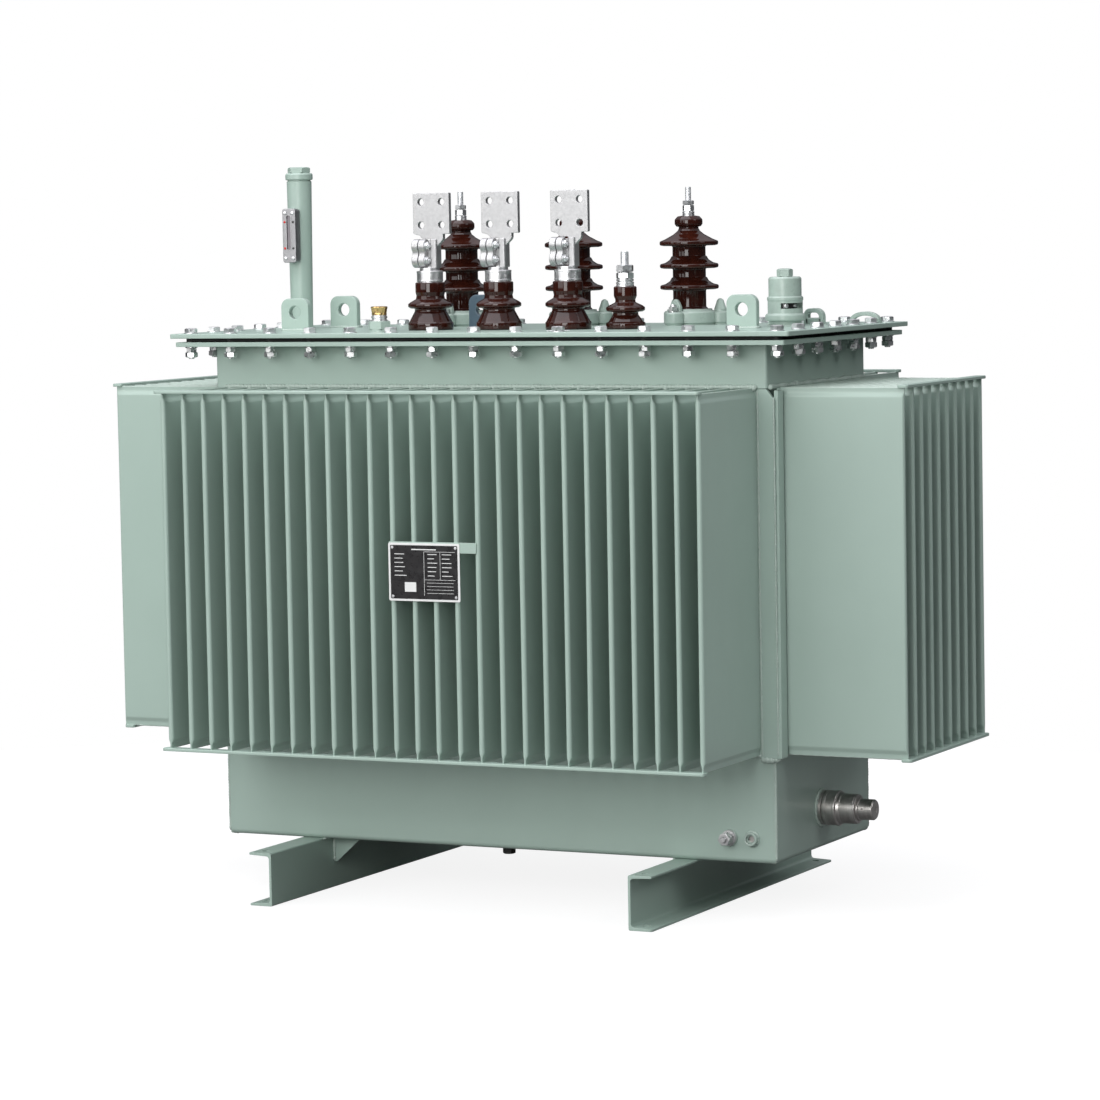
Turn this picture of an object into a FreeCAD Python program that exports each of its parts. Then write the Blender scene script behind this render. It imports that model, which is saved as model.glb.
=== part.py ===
import FreeCAD, Part
import os
import Sketcher

# Oil-immersed distribution power transformer with a corrugated-fin tank.
# Frame: +X along the long side, -Y is the low-voltage (front) side, +Z up.
# Origin: centre of the footprint on the ground. Millimetres.

os.makedirs("parts", exist_ok=True)
doc = FreeCAD.newDocument("PowerTransformer")
V = FreeCAD.Vector

# ---------------------------------------------------------------- driving sheet
sheet = doc.addObject("Spreadsheet::Sheet", "Dims")
TABLE = [
    # lower tank box
    ("base_half_len", 594), ("base_half_wid", 231), ("base_bottom", 103.5), ("base_top", 309.5),
    ("base_corner_rad", 7),
    # tank body behind the fins
    ("wall_half_len", 592), ("wall_half_wid", 229), ("fin_foot", 309.5), ("fin_head", 994),
    # collar between fins and flange
    ("collar_half_len", 591), ("collar_half_wid", 242),
    # flange, gasket, cover
    ("flange_under", 1076.5), ("flange_thick", 9), ("flange_half_len", 650), ("flange_half_wid", 298),
    ("gasket_thick", 7.4), ("gasket_inset", 16), ("gasket_width", 60),
    ("cover_thick", 9), ("cover_half_len", 661), ("cover_half_wid", 302.5),
    # corrugated walls
    ("fin_pitch", 45), ("fin_thick", 10.5), ("fin_seam_thick", 3), ("fin_pinch", 20),
    ("fin_nose", 4), ("fin_nose_thick", 5),
    ("sheet_thick", 3),
    ("long_fins", 26), ("long_fin_depth", 255), ("long_wall_pos", 240), ("long_sheet_half", 569),
    ("short_fins", 10), ("short_fin_depth", 244), ("short_wall_pos", 604), ("short_sheet_half", 211),
    # tip bars
    ("bar_tall", 6), ("bar_deep", 22), ("bar_overhang", 8), ("bar_end_long", 578), ("bar_end_right", 568), ("bar_end_short", 209),
    # corner posts
    ("post_front_len", 42), ("post_side_len", 27), ("post_out_len", 611), ("post_out_wid", 240.5), ("post_cut", 18),
    # feet
    ("channel_tall", 103.5), ("channel_flange", 48.3), ("channel_web", 6), ("channel_flange_tip", 5.5),
    ("channel_flange_root", 10),
    ("channel_web_pos", 380.3), ("channel_half_len", 435), ("channel_hole_off", 25), ("channel_hole_pos", 407),
    ("channel_hole_rad", 8),
    ("gusset_len", 57), ("gusset_tall", 52), ("gusset_thick", 6), ("gusset_pos", 184),
    # bottom drain plug
    ("plug_x", -30), ("plug_y", -108), ("plug_rad", 19), ("plug_neck", 14), ("plug_head_rad", 13), ("plug_head", 16),
    # drain valve on the right end
    ("valve_y", -10), ("valve_z", 181.8), ("valve_ring_rad", 33), ("valve_ring_len", 10),
    ("valve_body_rad", 34), ("valve_body_len", 29), ("valve_step_rad", 30), ("valve_step_len", 7),
    ("valve_neck_rad", 28.5), ("valve_neck_len", 31), ("valve_collar_rad", 23), ("valve_collar_len", 4),
    ("valve_cap_rad", 20), ("valve_cap_len", 30),
    # earth bolt and boss on the base
    ("earth_x", 498), ("earth_z", 150), ("earth_washer_rad", 16), ("earth_washer_len", 9),
    ("earth_head_af", 22), ("earth_head_len", 17), ("earth_stud_rad", 6), ("earth_stud_len", 10),
    ("boss_x", 544), ("boss_rad", 13.5), ("boss_len", 12), ("boss_hole_rad", 6), ("boss_hole_len", 18),
    # lifting lugs
    ("lug_wid", 62), ("lug_tall", 64), ("lug_thick", 15), ("lug_round", 17), ("lug_hole_rad", 13),
    ("lug_hole_up", 36), ("lug_left_x", 487), ("lug_right_x", 483), ("lug_y", 100),
    ("mid_lug_x", -122), ("mid_lug_y", 4), ("mid_lug_wid", 58), ("mid_lug_tall", 66), ("mid_lug_thick", 12),
    # filler tube and level gauge
    ("tube_x", -561), ("tube_y", 52), ("tube_low_rad", 22), ("tube_top_rad", 25.3), ("tube_tall", 301),
    ("cap_rim_rad", 27.5), ("cap_rim_tall", 13), ("cap_top_rad", 22), ("cap_top_tall", 12.5),
    ("gauge_wid", 30), ("gauge_deep", 27), ("gauge_low", 1236), ("gauge_tall", 109), ("gauge_out", 46),
    # thermometer pocket
    ("therm_x", -250), ("therm_y", -190), ("therm_hex_af", 40), ("therm_hex_tall", 21), ("therm_neck_rad", 13),
    ("therm_neck_tall", 12), ("therm_cap_rad", 16), ("therm_cap_tall", 16),
    # high-voltage bushings
    ("hv_x", 9.5), ("hv_pitch", 252), ("hv_y", 148), ("hv_ring_rad", 52), ("hv_ring_tall", 27), ("hv_lobe_rad", 17),
    ("hv_lobe_off", 57), ("hv_lobe_tall", 25), ("hv_boss_rad", 11), ("hv_boss_tall", 51), ("hv_core_rad", 32.5),
    ("hv_shed_rad", 57.6), ("hv_seat", 4),
    ("hv_shed_a", 1178), ("hv_shed_b", 1219.5), ("hv_shed_c", 1264), ("hv_shed_rise", 15.5), ("hv_shed_edge", 5),
    ("hv_neck_rad", 19.5), ("hv_bulb_rad", 27), ("hv_bulb_low", 1294), ("hv_bulb_high", 1315),
    ("hv_washer_rad", 12), ("hv_washer_tall", 9), ("hv_nut_rad", 11.3), ("hv_nut_tall", 21), ("hv_stud_rad", 6),
    ("hv_stud_top", 1373),
    # low-voltage bushings
    ("lv_x", -31.5), ("lv_pitch", 150), ("lv_y", -105), ("lv_foot_rad", 45), ("lv_foot_tall", 8), ("lv_seat", 4),
    ("lv_skirt_top_rad", 31), ("lv_skirt_top", 1141), ("lv_shed_low", 1147), ("lv_shed_rad", 44), ("lv_shed_edge", 5),
    ("lv_shed_top", 1163), ("lv_body_rad", 29), ("lv_body_top", 1194), ("lv_cap_rad", 25), ("lv_cap_top", 1218.5),
    ("clamp_left", 30), ("clamp_right", 7), ("clamp_front", 24), ("clamp_deep", 36), ("clamp_low", 1223), ("clamp_top", 1280),
    ("hub_rad", 19.5),
    ("palm_wid", 79.5), ("palm_thick", 10), ("palm_low", 1289), ("palm_top", 1369.5), ("palm_hole_rad", 7),
    ("palm_hole_pitch", 45), ("palm_front", 6), ("palm_shift", 8),
    ("lug_neck_left", -12), ("lug_neck_right", 34), ("lug_neck_top", 1295),
    # neutral bushing
    ("nt_x", 240.5), ("nt_foot_rad", 38.5), ("nt_foot_tall", 7), ("nt_skirt_top_rad", 25), ("nt_skirt_top", 1131),
    ("nt_shed_low", 1137), ("nt_shed_rad", 37), ("nt_shed_top", 1156), ("nt_body_rad", 22), ("nt_body_top", 1185),
    ("nt_nut_rad", 16), ("nt_nut_top", 1222), ("nt_stud_rad", 7), ("nt_stud_top", 1250),
    # tap changer
    ("tap_x", 517), ("tap_y", 25), ("tap_base_rad", 31), ("tap_base_tall", 11), ("tap_ring_rad", 38.5), ("tap_ring_tall", 13),
    ("tap_low_rad", 34), ("tap_low_tall", 25), ("tap_lip_rad", 34.5), ("tap_lip_tall", 8), ("tap_up_rad", 32),
    ("tap_up_tall", 37), ("tap_slot_tall", 10), ("tap_slot_low", 1134), ("tap_slot_deep", 26),
    ("tap_slot_wid", 54), ("tap_slot_off_x", 5.9), ("tap_slot_off_y", 33.7), ("tap_slot_turn", -28),
    ("tap_knob_rad", 14.5), ("tap_knob_tall", 16),
    # small handle and rear eye
    ("handle_x", 530), ("handle_y", 140), ("handle_wid", 40), ("handle_tall", 31), ("handle_bar", 8.5), ("handle_deep", 16),
    ("eye_x", 606), ("eye_y", 214), ("eye_rad", 32), ("eye_bar", 8), ("eye_thick", 12), ("eye_tall", 22),
    # rating plate
    ("plate_x", 2.5), ("plate_wid", 150), ("plate_low", 608), ("plate_tall", 109), ("plate_thick", 2.5),
    ("bracket_thick", 3), ("bracket_wid", 184), ("bracket_tall", 20),
]


class Ex:
    """A size that carries its number and the sheet formula it comes from."""

    def __init__(self, val, txt):
        self.val, self.txt = float(val), txt

    @staticmethod
    def of(o):
        return o if isinstance(o, Ex) else Ex(o, repr(float(o)))

    def __add__(self, o):
        o = Ex.of(o)
        return Ex(self.val + o.val, "(%s + %s)" % (self.txt, o.txt))

    def __radd__(self, o):
        return Ex.of(o) + self

    def __sub__(self, o):
        o = Ex.of(o)
        return Ex(self.val - o.val, "(%s - %s)" % (self.txt, o.txt))

    def __rsub__(self, o):
        return Ex.of(o) - self

    def __mul__(self, o):
        o = Ex.of(o)
        return Ex(self.val * o.val, "(%s * %s)" % (self.txt, o.txt))

    __rmul__ = __mul__

    def __truediv__(self, o):
        o = Ex.of(o)
        return Ex(self.val / o.val, "(%s / %s)" % (self.txt, o.txt))

    def __neg__(self):
        return Ex(-self.val, "(0 - %s)" % self.txt)


class Book:
    pass


D = Book()
for i, (name, value) in enumerate(TABLE):
    cell = "B%d" % (i + 1)
    sheet.set("A%d" % (i + 1), name)
    sheet.set(cell, str(value))
    sheet.setAlias(cell, name)
    setattr(D, name, Ex(value, "Dims." + name))
doc.recompute()

# levels that several pieces share
Z_FLANGE_TOP = D.flange_under + D.flange_thick
Z_COVER_LOW = Z_FLANGE_TOP + D.gasket_thick
Z_COVER = Z_COVER_LOW + D.cover_thick

NODES = []


def keep(obj, label):
    obj.Label = label
    NODES.append(obj)
    return obj


def bind(obj, prop, ex):
    obj.setExpression(prop, Ex.of(ex).txt)


def place(obj, x=0, y=0, z=0, rot=None):
    x, y, z = Ex.of(x), Ex.of(y), Ex.of(z)
    obj.Placement = FreeCAD.Placement(V(x.val, y.val, z.val), rot or FreeCAD.Rotation())
    bind(obj, "Placement.Base.x", x)
    bind(obj, "Placement.Base.y", y)
    bind(obj, "Placement.Base.z", z)


def box(name, lx, ly, lz, x, y, z):
    o = doc.addObject("Part::Box", name)
    bind(o, "Length", lx)
    bind(o, "Width", ly)
    bind(o, "Height", lz)
    place(o, x, y, z)
    return o


ROT = {
    "Z": FreeCAD.Rotation(),
    "X": FreeCAD.Rotation(V(0, 1, 0), 90),
    "-Y": FreeCAD.Rotation(V(1, 0, 0), 90),
}


def cyl(name, rad, tall, x, y, z, axis="Z"):
    o = doc.addObject("Part::Cylinder", name)
    bind(o, "Radius", rad)
    bind(o, "Height", tall)
    place(o, x, y, z, ROT[axis])
    return o


def hexprism(name, across_flats, tall, x, y, z, axis="Z"):
    o = doc.addObject("Part::Prism", name)
    o.Polygon = 6
    bind(o, "Circumradius", across_flats / 1.7320508)
    bind(o, "Height", tall)
    place(o, x, y, z, ROT[axis])
    return o


def fuse(name, shapes):
    o = doc.addObject("Part::MultiFuse", name)
    o.Shapes = shapes
    return o


def cut(name, base, tool):
    o = doc.addObject("Part::Cut", name)
    o.Base = base
    o.Tool = tool
    return o


def group(name, links):
    o = doc.addObject("Part::Compound", name)
    o.Links = links
    return o


def new_body(name):
    b = doc.addObject("PartDesign::Body", name)
    b.AllowCompound = True
    return b


def plane_of(body, role):
    for f in body.Origin.OriginFeatures:
        if f.Role == role:
            return f
    raise ValueError(role)


def sketch_on(body, name, role, offset=None):
    s = body.newObject("Sketcher::SketchObject", name)
    s.AttachmentSupport = [(plane_of(body, role), "")]
    s.MapMode = "FlatFace"
    if offset is not None:
        bind(s, "AttachmentOffset.Base.z", offset)
    return s


def pin_point(s, geo, pos, x, y):
    x, y = Ex.of(x), Ex.of(y)
    if abs(x.val) < 1e-9:
        s.addConstraint(Sketcher.Constraint("PointOnObject", geo, pos, -2))
    else:
        c = s.addConstraint(Sketcher.Constraint("DistanceX", -1, 1, geo, pos, x.val))
        s.setExpression("Constraints[%d]" % c, x.txt)
    if abs(y.val) < 1e-9:
        s.addConstraint(Sketcher.Constraint("PointOnObject", geo, pos, -1))
    else:
        c = s.addConstraint(Sketcher.Constraint("DistanceY", -1, 1, geo, pos, y.val))
        s.setExpression("Constraints[%d]" % c, y.txt)


def polygon(s, pts):
    pts = [(Ex.of(a), Ex.of(b)) for a, b in pts]
    n = len(pts)
    first = s.GeometryCount
    for i in range(n):
        a, b = pts[i], pts[(i + 1) % n]
        s.addGeometry(Part.LineSegment(V(a[0].val, a[1].val, 0), V(b[0].val, b[1].val, 0)), False)
    for i in range(n):
        s.addConstraint(Sketcher.Constraint("Coincident", first + i, 2, first + (i + 1) % n, 1))
    for i in range(n):
        pin_point(s, first + i, 1, pts[i][0], pts[i][1])


def circle(s, x, y, rad):
    x, y, rad = Ex.of(x), Ex.of(y), Ex.of(rad)
    g = s.addGeometry(Part.Circle(V(x.val, y.val, 0), V(0, 0, 1), rad.val), False)
    c = s.addConstraint(Sketcher.Constraint("Radius", g, rad.val))
    s.setExpression("Constraints[%d]" % c, rad.txt)
    pin_point(s, g, 3, x, y)


def pad(body, name, sk, length, mid=False):
    p = body.newObject("PartDesign::Pad", name)
    p.Profile = sk
    bind(p, "Length", length)
    if mid:
        p.Midplane = True
    sk.Visibility = False
    return p


def pocket(body, name, sk):
    p = body.newObject("PartDesign::Pocket", name)
    p.Profile = sk
    p.Type = 1
    p.Midplane = True
    return p


def row_of(body, name, originals, sk, axis, span, count):
    pt = body.newObject("PartDesign::LinearPattern", name)
    pt.Originals = originals
    pt.Direction = (sk, [axis])
    bind(pt, "Length", span)
    bind(pt, "Occurrences", count)
    body.Tip = pt
    return pt


def turned(label, pts, x, y, z, span=None, count=None):
    """A body of revolution about its own vertical axis, set out once or in a row along X."""
    b = new_body(label)
    s = sketch_on(b, label + "_profile", "XZ_Plane")
    polygon(s, pts)
    r = b.newObject("PartDesign::Revolution", label + "_turn")
    r.Profile = s
    r.ReferenceAxis = (s, ["V_Axis"])
    r.Angle = 360
    b.Tip = r
    if count:
        doc.recompute()
        row_of(b, label + "_row", [r], s, "H_Axis", span, count)
    place(b, x, y, z)
    return b


def fillet_last(body, name, feature, chooser, rad):
    doc.recompute()
    names = ["Edge%d" % (i + 1) for i, e in enumerate(feature.Shape.Edges) if chooser(e)]
    f = body.newObject("PartDesign::Fillet", name)
    f.Base = (feature, names)
    bind(f, "Radius", rad)
    body.Tip = f
    return f


def is_along(e, axis):
    if len(e.Vertexes) != 2:
        return False
    d = e.Vertexes[1].Point.sub(e.Vertexes[0].Point)
    d.normalize()
    return abs(abs(d.dot(axis)) - 1) < 1e-6


# ---------------------------------------------------------------- tank
def rect_body(label, half_len, half_wid, tall, z, corner=None):
    b = new_body(label)
    s = sketch_on(b, label + "_plan", "XY_Plane")
    polygon(s, [(-half_len, -half_wid), (half_len, -half_wid), (half_len, half_wid), (-half_len, half_wid)])
    p = pad(b, label + "_pad", s, tall)
    b.Tip = p
    if corner is not None:
        fillet_last(b, label + "_corners", p, lambda e: is_along(e, V(0, 0, 1)), corner)
    place(b, 0, 0, z)
    return b


keep(rect_body("tank_base", D.base_half_len, D.base_half_wid, D.base_top - D.base_bottom, D.base_bottom,
               D.base_corner_rad), "tank_base")
keep(rect_body("tank_body", D.wall_half_len, D.wall_half_wid, D.fin_head - D.fin_foot, D.fin_foot), "tank_body")
keep(rect_body("tank_collar", D.collar_half_len, D.collar_half_wid, D.flange_under - D.fin_head, D.fin_head, 4.0),
     "tank_collar")


def frame_body(label, half_len, half_wid, border, tall, z):
    """A flat rectangular frame."""
    b = new_body(label)
    s = sketch_on(b, label + "_plan", "XY_Plane")
    polygon(s, [(-half_len, -half_wid), (half_len, -half_wid), (half_len, half_wid), (-half_len, half_wid)])
    il, iw = half_len - border, half_wid - border
    polygon(s, [(-il, -iw), (il, -iw), (il, iw), (-il, iw)])
    b.Tip = pad(b, label + "_pad", s, tall)
    place(b, 0, 0, z)
    return b


# The flange is a solid plate here: the closed tank is one mass of core, windings and oil.
keep(rect_body("tank_flange", D.flange_half_len, D.flange_half_wid, D.flange_thick, D.flange_under), "tank_flange")
keep(rect_body("cover_gasket", D.flange_half_len - D.gasket_inset, D.flange_half_wid - D.gasket_inset,
               D.gasket_thick, Z_FLANGE_TOP), "cover_gasket")
keep(rect_body("tank_cover", D.cover_half_len, D.cover_half_wid, D.cover_thick, Z_COVER_LOW), "tank_cover")


# ---------------------------------------------------------------- corrugated walls
def fin_wall(label, count, depth, sheet_half, x, y, angle):
    """A sheet with a row of folded fins. In its own frame the sheet faces -Y."""
    b = new_body(label)
    tall = D.fin_head - D.fin_foot
    s0 = sketch_on(b, label + "_sheet", "XZ_Plane")
    polygon(s0, [(-sheet_half, 0), (sheet_half, 0), (sheet_half, tall), (-sheet_half, tall)])
    p0 = pad(b, label + "_sheet_pad", s0, D.sheet_thick)
    start = -(D.fin_pitch * (count - 1) / 2)

    def hexagon(sk, thick, low):
        a, c = thick / 2, D.fin_seam_thick / 2
        polygon(sk, [(start - c, low), (start + c, low), (start + a, D.fin_pinch), (start + a, tall - D.fin_pinch),
                     (start + c, tall - low), (start - c, tall - low), (start - a, tall - D.fin_pinch),
                     (start - a, D.fin_pinch)])

    s1 = sketch_on(b, label + "_fin", "XZ_Plane")
    hexagon(s1, D.fin_thick, Ex.of(0))
    p1 = pad(b, label + "_fin_pad", s1, depth - D.fin_nose)
    s2 = sketch_on(b, label + "_nose", "XZ_Plane")
    hexagon(s2, D.fin_nose_thick, Ex.of(0))
    p2 = pad(b, label + "_nose_pad", s2, depth)
    doc.recompute()
    row_of(b, label + "_row", [p1, p2], s0, "H_Axis", D.fin_pitch * (count - 1), count)
    place(b, x, y, D.fin_foot, FreeCAD.Rotation(V(0, 0, 1), angle))
    return b


# sheets stand against the tank body, fins reach out from them
keep(fin_wall("fin_wall_front", D.long_fins, D.long_fin_depth + 11, D.long_sheet_half, 0, -D.wall_half_wid, 0),
     "fin_wall_front")
keep(fin_wall("fin_wall_right", D.short_fins, D.short_fin_depth + 12, D.short_sheet_half, D.wall_half_len, 0, 90),
     "fin_wall_right")
keep(fin_wall("fin_wall_back", D.long_fins, D.long_fin_depth + 11, D.long_sheet_half, 0, D.wall_half_wid, 180),
     "fin_wall_back")
keep(fin_wall("fin_wall_left", D.short_fins, D.short_fin_depth + 12, D.short_sheet_half, -D.wall_half_len, 0, 270),
     "fin_wall_left")

# flat bars welded across the fin tips, above and below
long_tip = D.wall_half_wid + D.long_fin_depth + 11
short_tip = D.wall_half_len + D.short_fin_depth + 12
low_z = D.fin_foot - D.bar_tall


def bars(label, x, y, lx, ly, foot_shift=0.0):
    a = box(label + "_top", lx, ly, D.bar_tall, x, y, D.fin_head)
    c = box(label + "_foot", lx, ly, D.bar_tall, x + foot_shift, y, low_z)
    return keep(group(label, [a, c]), label)


bars("tip_bars_front", -D.bar_end_long, -(long_tip + D.bar_overhang), D.bar_end_long + D.bar_end_right, D.bar_deep)
bars("tip_bars_back", -D.bar_end_long, long_tip + D.bar_overhang - D.bar_deep, D.bar_end_long + D.bar_end_right, D.bar_deep)
bars("tip_bars_right", short_tip + D.bar_overhang - D.bar_deep, -D.bar_end_short, D.bar_deep, 2 * D.bar_end_short)
bars("tip_bars_left", -(short_tip + D.bar_overhang), -D.bar_end_short, D.bar_deep, 2 * D.bar_end_short, D.bar_overhang)


# ---------------------------------------------------------------- corner posts
def post(name, sx, sy):
    """An angle that closes the corner between two fin walls; its outer top corner is cut away."""
    b = new_body(name)
    tall = D.fin_head - D.fin_foot
    s = sketch_on(b, name + "_plan", "XY_Plane")
    ox, oy = D.post_out_len, D.post_out_wid
    ix, iy = D.post_out_len - D.post_front_len, D.post_out_wid - D.post_side_len
    wx, wy = D.wall_half_len, D.wall_half_wid
    pts = [(ix, wy), (ix, oy), (ox, oy), (ox, iy), (wx, iy), (wx, wy)]
    pts = [(sx * a, sy * c) for a, c in pts]
    if sx * sy < 0:
        pts = pts[::-1]
    polygon(s, pts)
    p = pad(b, name + "_pad", s, tall)
    b.Tip = p
    doc.recompute()
    k = sketch_on(b, name + "_cut", "XZ_Plane")
    tri = [(sx * (ox + 1), tall + 1), (sx * (ox - D.post_cut), tall + 1), (sx * (ox + 1), tall - D.post_cut * 1.3)]
    polygon(k, tri if sx > 0 else tri[::-1])
    q = pocket(b, name + "_corner_cut", k)
    b.Tip = q
    place(b, 0, 0, D.fin_foot)
    return b


posts = [post("post_%s%s" % (n1, n2), a, c) for n1, c in (("f", -1), ("b", 1)) for n2, a in (("l", -1), ("r", 1))]
keep(group("corner_posts", posts), "corner_posts")


# ---------------------------------------------------------------- feet
def channel(label, side):
    b = new_body(label)
    s = sketch_on(b, label + "_section", "XZ_Plane")
    x0 = D.channel_web_pos
    x1 = x0 + D.channel_web
    x2 = x0 + D.channel_flange
    t, r, H = D.channel_flange_tip, D.channel_flange_root, D.channel_tall
    pts = [(x0, 0), (x2, 0), (x2, t), (x1, r), (x1, H - r), (x2, H - t), (x2, H), (x0, H)]
    pts = [(side * a, c) for a, c in pts]
    if side < 0:
        pts = pts[::-1]
    polygon(s, pts)
    p = pad(b, label + "_run", s, 2 * D.channel_half_len, mid=True)
    b.Tip = p
    doc.recompute()
    k = sketch_on(b, label + "_holes", "XY_Plane")
    for sy in (-1, 1):
        circle(k, side * (x0 + D.channel_hole_off), sy * D.channel_hole_pos, D.channel_hole_rad)
    b.Tip = pocket(b, label + "_hole_cut", k)
    place(b, 0, 0, 0)
    return b


keep(channel("foot_channel_left", -1), "foot_channel_left")
keep(channel("foot_channel_right", 1), "foot_channel_right")


def gusset(name, sx, sy):
    b = new_body(name)
    s = sketch_on(b, name + "_outline", "XZ_Plane")
    x0 = D.channel_web_pos
    pts = [(x0 - D.gusset_len, 0), (x0, 0), (x0, -D.gusset_tall), (x0 - 8, -D.gusset_tall), (x0 - D.gusset_len, -8)]
    pts = [(sx * a, c) for a, c in pts]
    polygon(s, pts if sx > 0 else pts[::-1])
    b.Tip = pad(b, name + "_pad", s, D.gusset_thick, mid=True)
    place(b, 0, sy * D.gusset_pos, D.base_bottom)
    return b


gs = [gusset("gusset_fl", -1, -1), gusset("gusset_bl", -1, 1), gusset("gusset_br", 1, 1)]
keep(group("foot_gussets", gs), "foot_gussets")

# bottom drain plug
pl_a = cyl("plug_neck_round", D.plug_rad, D.plug_neck, D.plug_x, D.plug_y, D.base_bottom - D.plug_neck)
pl_b = hexprism("plug_head_hex", D.plug_head_rad * 1.8, D.plug_head, D.plug_x, D.plug_y,
                D.base_bottom - D.plug_neck - D.plug_head)
keep(fuse("drain_plug", [pl_a, pl_b]), "drain_plug")

# ---------------------------------------------------------------- drain valve
vx = D.base_half_len
v1 = cyl("valve_ring", D.valve_ring_rad, D.valve_ring_len, vx, D.valve_y, D.valve_z, "X")
v2 = cyl("valve_barrel", D.valve_body_rad, D.valve_body_len, vx + D.valve_ring_len, D.valve_y, D.valve_z, "X")
v3 = cyl("valve_step", D.valve_step_rad, D.valve_step_len, vx + D.valve_ring_len + D.valve_body_len, D.valve_y,
         D.valve_z, "X")
vneck = vx + D.valve_ring_len + D.valve_body_len + D.valve_step_len
v4 = cyl("valve_neck", D.valve_neck_rad, D.valve_neck_len, vneck, D.valve_y, D.valve_z, "X")
keep(fuse("drain_valve", [v1, v2, v3, v4]), "drain_valve")
v5 = cyl("valve_collar", D.valve_collar_rad, D.valve_collar_len, vneck + D.valve_neck_len, D.valve_y, D.valve_z, "X")
v6 = cyl("valve_cap_round", D.valve_cap_rad, D.valve_cap_len, vneck + D.valve_neck_len + D.valve_collar_len,
         D.valve_y, D.valve_z, "X")
keep(fuse("drain_valve_cap", [v5, v6]), "drain_valve_cap")

# ---------------------------------------------------------------- earth bolt and tapped boss
e1 = cyl("earth_washer", D.earth_washer_rad, D.earth_washer_len, D.earth_x, -D.base_half_wid, D.earth_z, "-Y")
e2 = hexprism("earth_head", D.earth_head_af, D.earth_head_len, D.earth_x, -(D.base_half_wid + D.earth_washer_len),
              D.earth_z, "-Y")
e3 = cyl("earth_stud", D.earth_stud_rad, D.earth_stud_len, D.earth_x,
         -(D.base_half_wid + D.earth_washer_len + D.earth_head_len), D.earth_z, "-Y")
keep(fuse("earth_bolt", [e1, e2, e3]), "earth_bolt")
b1 = cyl("boss_round", D.boss_rad, D.boss_len, D.boss_x, -D.base_half_wid, D.earth_z, "-Y")
b2 = cyl("boss_bore", D.boss_hole_rad, D.boss_len + 2, D.boss_x, 1 - D.base_half_wid, D.earth_z, "-Y")
keep(cut("earth_boss", b1, b2), "earth_boss")


# ---------------------------------------------------------------- lifting lugs
def lug(name, wid, tall, thick, x, y, up=None):
    b = new_body(name)
    s = sketch_on(b, name + "_outline", "XZ_Plane")
    polygon(s, [(-wid / 2, 0), (wid / 2, 0), (wid / 2, tall), (-wid / 2, tall)])
    circle(s, 0, up if up is not None else D.lug_hole_up, D.lug_hole_rad)
    p = pad(b, name + "_pad", s, thick, mid=True)
    b.Tip = p
    fillet_last(b, name + "_round", p,
                lambda e: is_along(e, V(0, 1, 0)) and e.CenterOfMass.z > tall.val - 0.01, D.lug_round)
    place(b, x, y, Z_COVER)
    return b


lugs = [lug("lug_%s%s" % (n1, n2), D.lug_wid, D.lug_tall, D.lug_thick, -D.lug_left_x if a < 0 else D.lug_right_x, c * D.lug_y)
        for n1, c in (("f", -1), ("b", 1)) for n2, a in (("l", -1), ("r", 1))]
keep(group("lifting_lugs", lugs), "lifting_lugs")
keep(lug("centre_lug", D.mid_lug_wid, D.mid_lug_tall, D.mid_lug_thick, D.mid_lug_x, D.mid_lug_y), "centre_lug")

# ---------------------------------------------------------------- filler tube, cap, gauge
def tube_cone(name):
    """The tube widens a little towards the top."""
    o = doc.addObject("Part::Cone", name)
    bind(o, "Radius1", D.tube_low_rad)
    bind(o, "Radius2", D.tube_top_rad)
    bind(o, "Height", D.tube_tall)
    place(o, D.tube_x, D.tube_y, Z_COVER)
    return o


keep(tube_cone("filler_tube_round"), "filler_tube")
zt = Z_COVER + D.tube_tall
keep(turned("filler_cap", [(0, 0), (D.cap_rim_rad, 0), (D.cap_rim_rad, D.cap_rim_tall),
                           (D.cap_top_rad, D.cap_rim_tall), (D.cap_top_rad, D.cap_rim_tall + D.cap_top_tall),
                           (0, D.cap_rim_tall + D.cap_top_tall)], D.tube_x, D.tube_y, zt), "filler_cap")
gy = D.tube_y - D.gauge_out
g1 = box("gauge_block", D.gauge_wid, D.gauge_deep, D.gauge_tall, D.tube_x - D.gauge_wid / 2, gy, D.gauge_low)
g2 = tube_cone("gauge_saddle")
keep(cut("level_gauge", g1, g2), "level_gauge")

# ---------------------------------------------------------------- thermometer pocket
t1 = hexprism("pocket_hex", D.therm_hex_af, D.therm_hex_tall, D.therm_x, D.therm_y, Z_COVER)
t2 = cyl("pocket_neck", D.therm_neck_rad, D.therm_neck_tall, D.therm_x, D.therm_y, Z_COVER + D.therm_hex_tall)
keep(fuse("thermometer_pocket", [t1, t2]), "thermometer_pocket")
keep(cyl("pocket_cap_round", D.therm_cap_rad, D.therm_cap_tall, D.therm_x, D.therm_y,
         Z_COVER + D.therm_hex_tall + D.therm_neck_tall), "thermometer_cap")

# ---------------------------------------------------------------- high-voltage bushings
hz = Z_COVER


def up(level):
    return level - hz


hv_first = D.hv_x - D.hv_pitch
ring_top = D.hv_ring_tall + D.hv_seat


def shed(level, core):
    """Cone above, thin edge, flat underside."""
    return [(core, level - D.hv_shed_edge), (D.hv_shed_rad, level - D.hv_shed_edge + 1),
            (D.hv_shed_rad, level), (core, level + D.hv_shed_rise)]


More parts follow.
